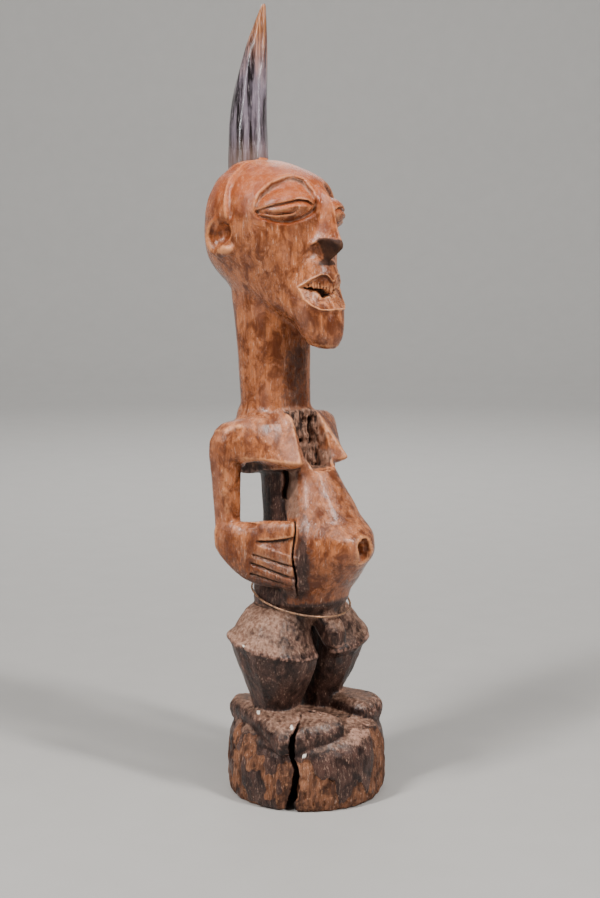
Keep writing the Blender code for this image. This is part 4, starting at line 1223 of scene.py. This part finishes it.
def horn_keratin():
    horn = Finish("horn_keratin", IOR=1.54, Coat_Roughness=0.14)
    lengthwise = horn.noise(3.0, (1, 1, 0.05), 4.0, 0.6)
    cloud = horn.noise(16, (1, 1, 0.45), 3.0)
    hair = horn.noise(0.6, (1, 1, 0.05), 3.0, 0.6)
    height = horn.node("SeparateXYZ", {}, {0: horn.place}, "Z")
    tip = horn.between(height + (cloud - 0.5) * 0.05 + (lengthwise - 0.5) * 0.03, 0.522, 0.570)
    foot = horn.between(height, 0.486, 0.464)
    shade = horn.mix(horn.between(lengthwise, 0.38, 0.64), colour(26, 21, 23), colour(124, 113, 124))
    shade = horn.laid(shade, (cloud, 0.48, 0.72, 0.7, (160, 148, 162)))
    amber = horn.mix(horn.between(lengthwise, 0.42, 0.62), colour(116, 70, 44), colour(210, 142, 96))
    shade = horn.mix(tip, shade, amber)
    shade = horn.mix(foot * 0.5, shade, colour(124, 98, 84))
    scratches = horn.between(hair, 0.58, 0.66)
    shade = horn.mix(scratches * 0.4, shade, colour(190, 178, 182))
    rough = 0.15 + (cloud - 0.5) * 0.3 + scratches * 0.2 + foot * 0.25
    horn.feed(Base_Color=shade, Roughness=rough.clamp(), Coat_Weight=(0.8 - foot * 0.5).clamp())
    horn.bump(lengthwise * 0.8 + hair * 0.4, 0.16)
    return horn.material


def old_wire():
    wire = Finish("old_wire", IOR=1.5)
    patch = wire.noise(4, (1, 1, 1), 3.0)
    grit = wire.noise(0.7, (1, 1, 1), 3.0)
    shade = wire.mix(wire.between(patch, 0.4, 0.62), colour(104, 78, 62), colour(186, 140, 106))
    shade = wire.laid(shade, (grit, 0.56, 0.7, 0.6, (226, 188, 152)))
    bright = wire.between(patch + (grit - 0.5) * 0.4, 0.45, 0.65)
    wire.feed(Base_Color=shade, Metallic=bright * 0.8, Roughness=(0.55 - bright * 0.22).clamp())
    wire.bump(grit, 0.12)
    return wire.material


# Floor, lights and camera

BOWL = ((0, 0), (2.7, 0), (3.0, 0.03), (3.3, 0.15), (3.55, 0.38), (3.72, 0.7), (3.8, 1.1), (3.8, 4.5))
BOWL_SIDES = 96


def make_floor():
    """A wide round floor whose rim rises in one sweep to a plain wall."""
    rows = [(reach * cos(2 * pi * j / BOWL_SIDES), reach * sin(2 * pi * j / BOWL_SIDES), rise)
            for reach, rise in BOWL[1:] for j in range(BOWL_SIDES)]
    faces = turned(ring_faces(len(BOWL) - 1, BOWL_SIDES))
    mesh = bpy.data.meshes.new("floor")
    mesh.from_pydata(rows, [], [list(range(BOWL_SIDES)), *faces])
    floor = make_piece("floor", mesh)
    plain = Finish("pale_floor", Roughness=0.9)
    grain = plain.noise(40, (1, 1, 1), 2.0)
    plain.feed(Base_Color=plain.mix(grain, colour(168, 166, 163), colour(174, 172, 169)))
    floor.data.materials.append(plain.material)


def make_light(name, place, aim, size, power, tint=(1, 1, 1)):
    lamp = bpy.data.lights.new(name, "AREA")
    lamp.shape = "RECTANGLE"
    lamp.size, lamp.size_y = size
    lamp.energy = power
    lamp.color = tint
    holder = bpy.data.objects.new(name, lamp)
    bpy.context.scene.collection.objects.link(holder)
    holder.location = place
    holder.rotation_mode = "QUATERNION"
    holder.rotation_quaternion = (Vector(aim) - Vector(place)).to_track_quat("-Z", "Y")


SENSOR_HEIGHT = 24            # mm
FRAME_HEIGHT = 898            # pixels
FOCAL = 1516                  # pixels
CAMERA_DISTANCE = 1.1         # m out from the drum's middle
CAMERA_HEIGHT = 0.4075
CAMERA_SHIFT = 0.0051         # m to the left
CAMERA_PITCH = radians(7.85)
CAMERA_TURN = radians(45)


def make_camera():
    back = Vector((-sin(CAMERA_TURN), -cos(CAMERA_TURN), 0))
    right = Vector((cos(CAMERA_TURN), -sin(CAMERA_TURN), 0))
    data = bpy.data.cameras.new("camera")
    data.sensor_fit = "VERTICAL"
    data.sensor_height = SENSOR_HEIGHT
    data.lens = SENSOR_HEIGHT * FOCAL / FRAME_HEIGHT
    data.clip_start, data.clip_end = 0.05, 20
    camera = bpy.data.objects.new("camera", data)
    bpy.context.scene.collection.objects.link(camera)
    camera.location = back * CAMERA_DISTANCE + Vector((0, 0, CAMERA_HEIGHT)) - right * CAMERA_SHIFT
    look = -back * cos(CAMERA_PITCH) - Vector((0, 0, sin(CAMERA_PITCH)))
    camera.rotation_mode = "QUATERNION"
    camera.rotation_quaternion = look.to_track_quat("-Z", "Y")
    bpy.context.scene.camera = camera


def make_studio():
    make_floor()
    middle = (0, 0, 0.32)
    make_light("left_box", (-1.08, 0.10, 1.50), middle, (0.13, 0.8), 30, (1, 0.97, 0.94))
    make_light("right_box", (0.12, -1.08, 1.52), middle, (0.13, 0.75), 28, (1, 0.97, 0.94))
    make_light("left_strip", (-1.25, 0.12, 0.80), (0, 0, 0.5), (0.02, 0.8), 3.6, (0.97, 0.97, 1))
    make_light("right_strip", (0.25, -1.22, 0.85), (0, 0, 0.5), (0.02, 0.8), 3.4, (0.97, 0.97, 1))
    make_light("top_box", (-0.35, -0.2, 1.95), middle, (0.5, 0.5), 7)
    make_light("back_box", (1.1, 1.1, 1.2), middle, (0.8, 0.8), 3)
    make_light("wall_box", (0.75, 0.75, 1.9), (3.0, 3.0, 0.5), (2.0, 0.8), 60)
    make_light("floor_box", (0.9, 0.9, 2.0), (1.5, 1.5, 0), (1.2, 1.2), 7)
    world = bpy.data.worlds.new("studio")
    bpy.context.scene.world = world
    world.use_nodes = True
    world.node_tree.nodes["Background"].inputs["Color"].default_value = (0.8, 0.82, 0.85, 1)
    world.node_tree.nodes["Background"].inputs["Strength"].default_value = 0.05


def dress(piece, node, material):
    piece.data.materials.append(material)
    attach(piece, "root")
    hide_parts(node)


make_camera()
dress(make_carving(), "figure", worn_wood_and_painted_shade())
dress(make_horn(), "horn", horn_keratin())
dress(make_wire(), "waist_wire", old_wire())
make_studio()
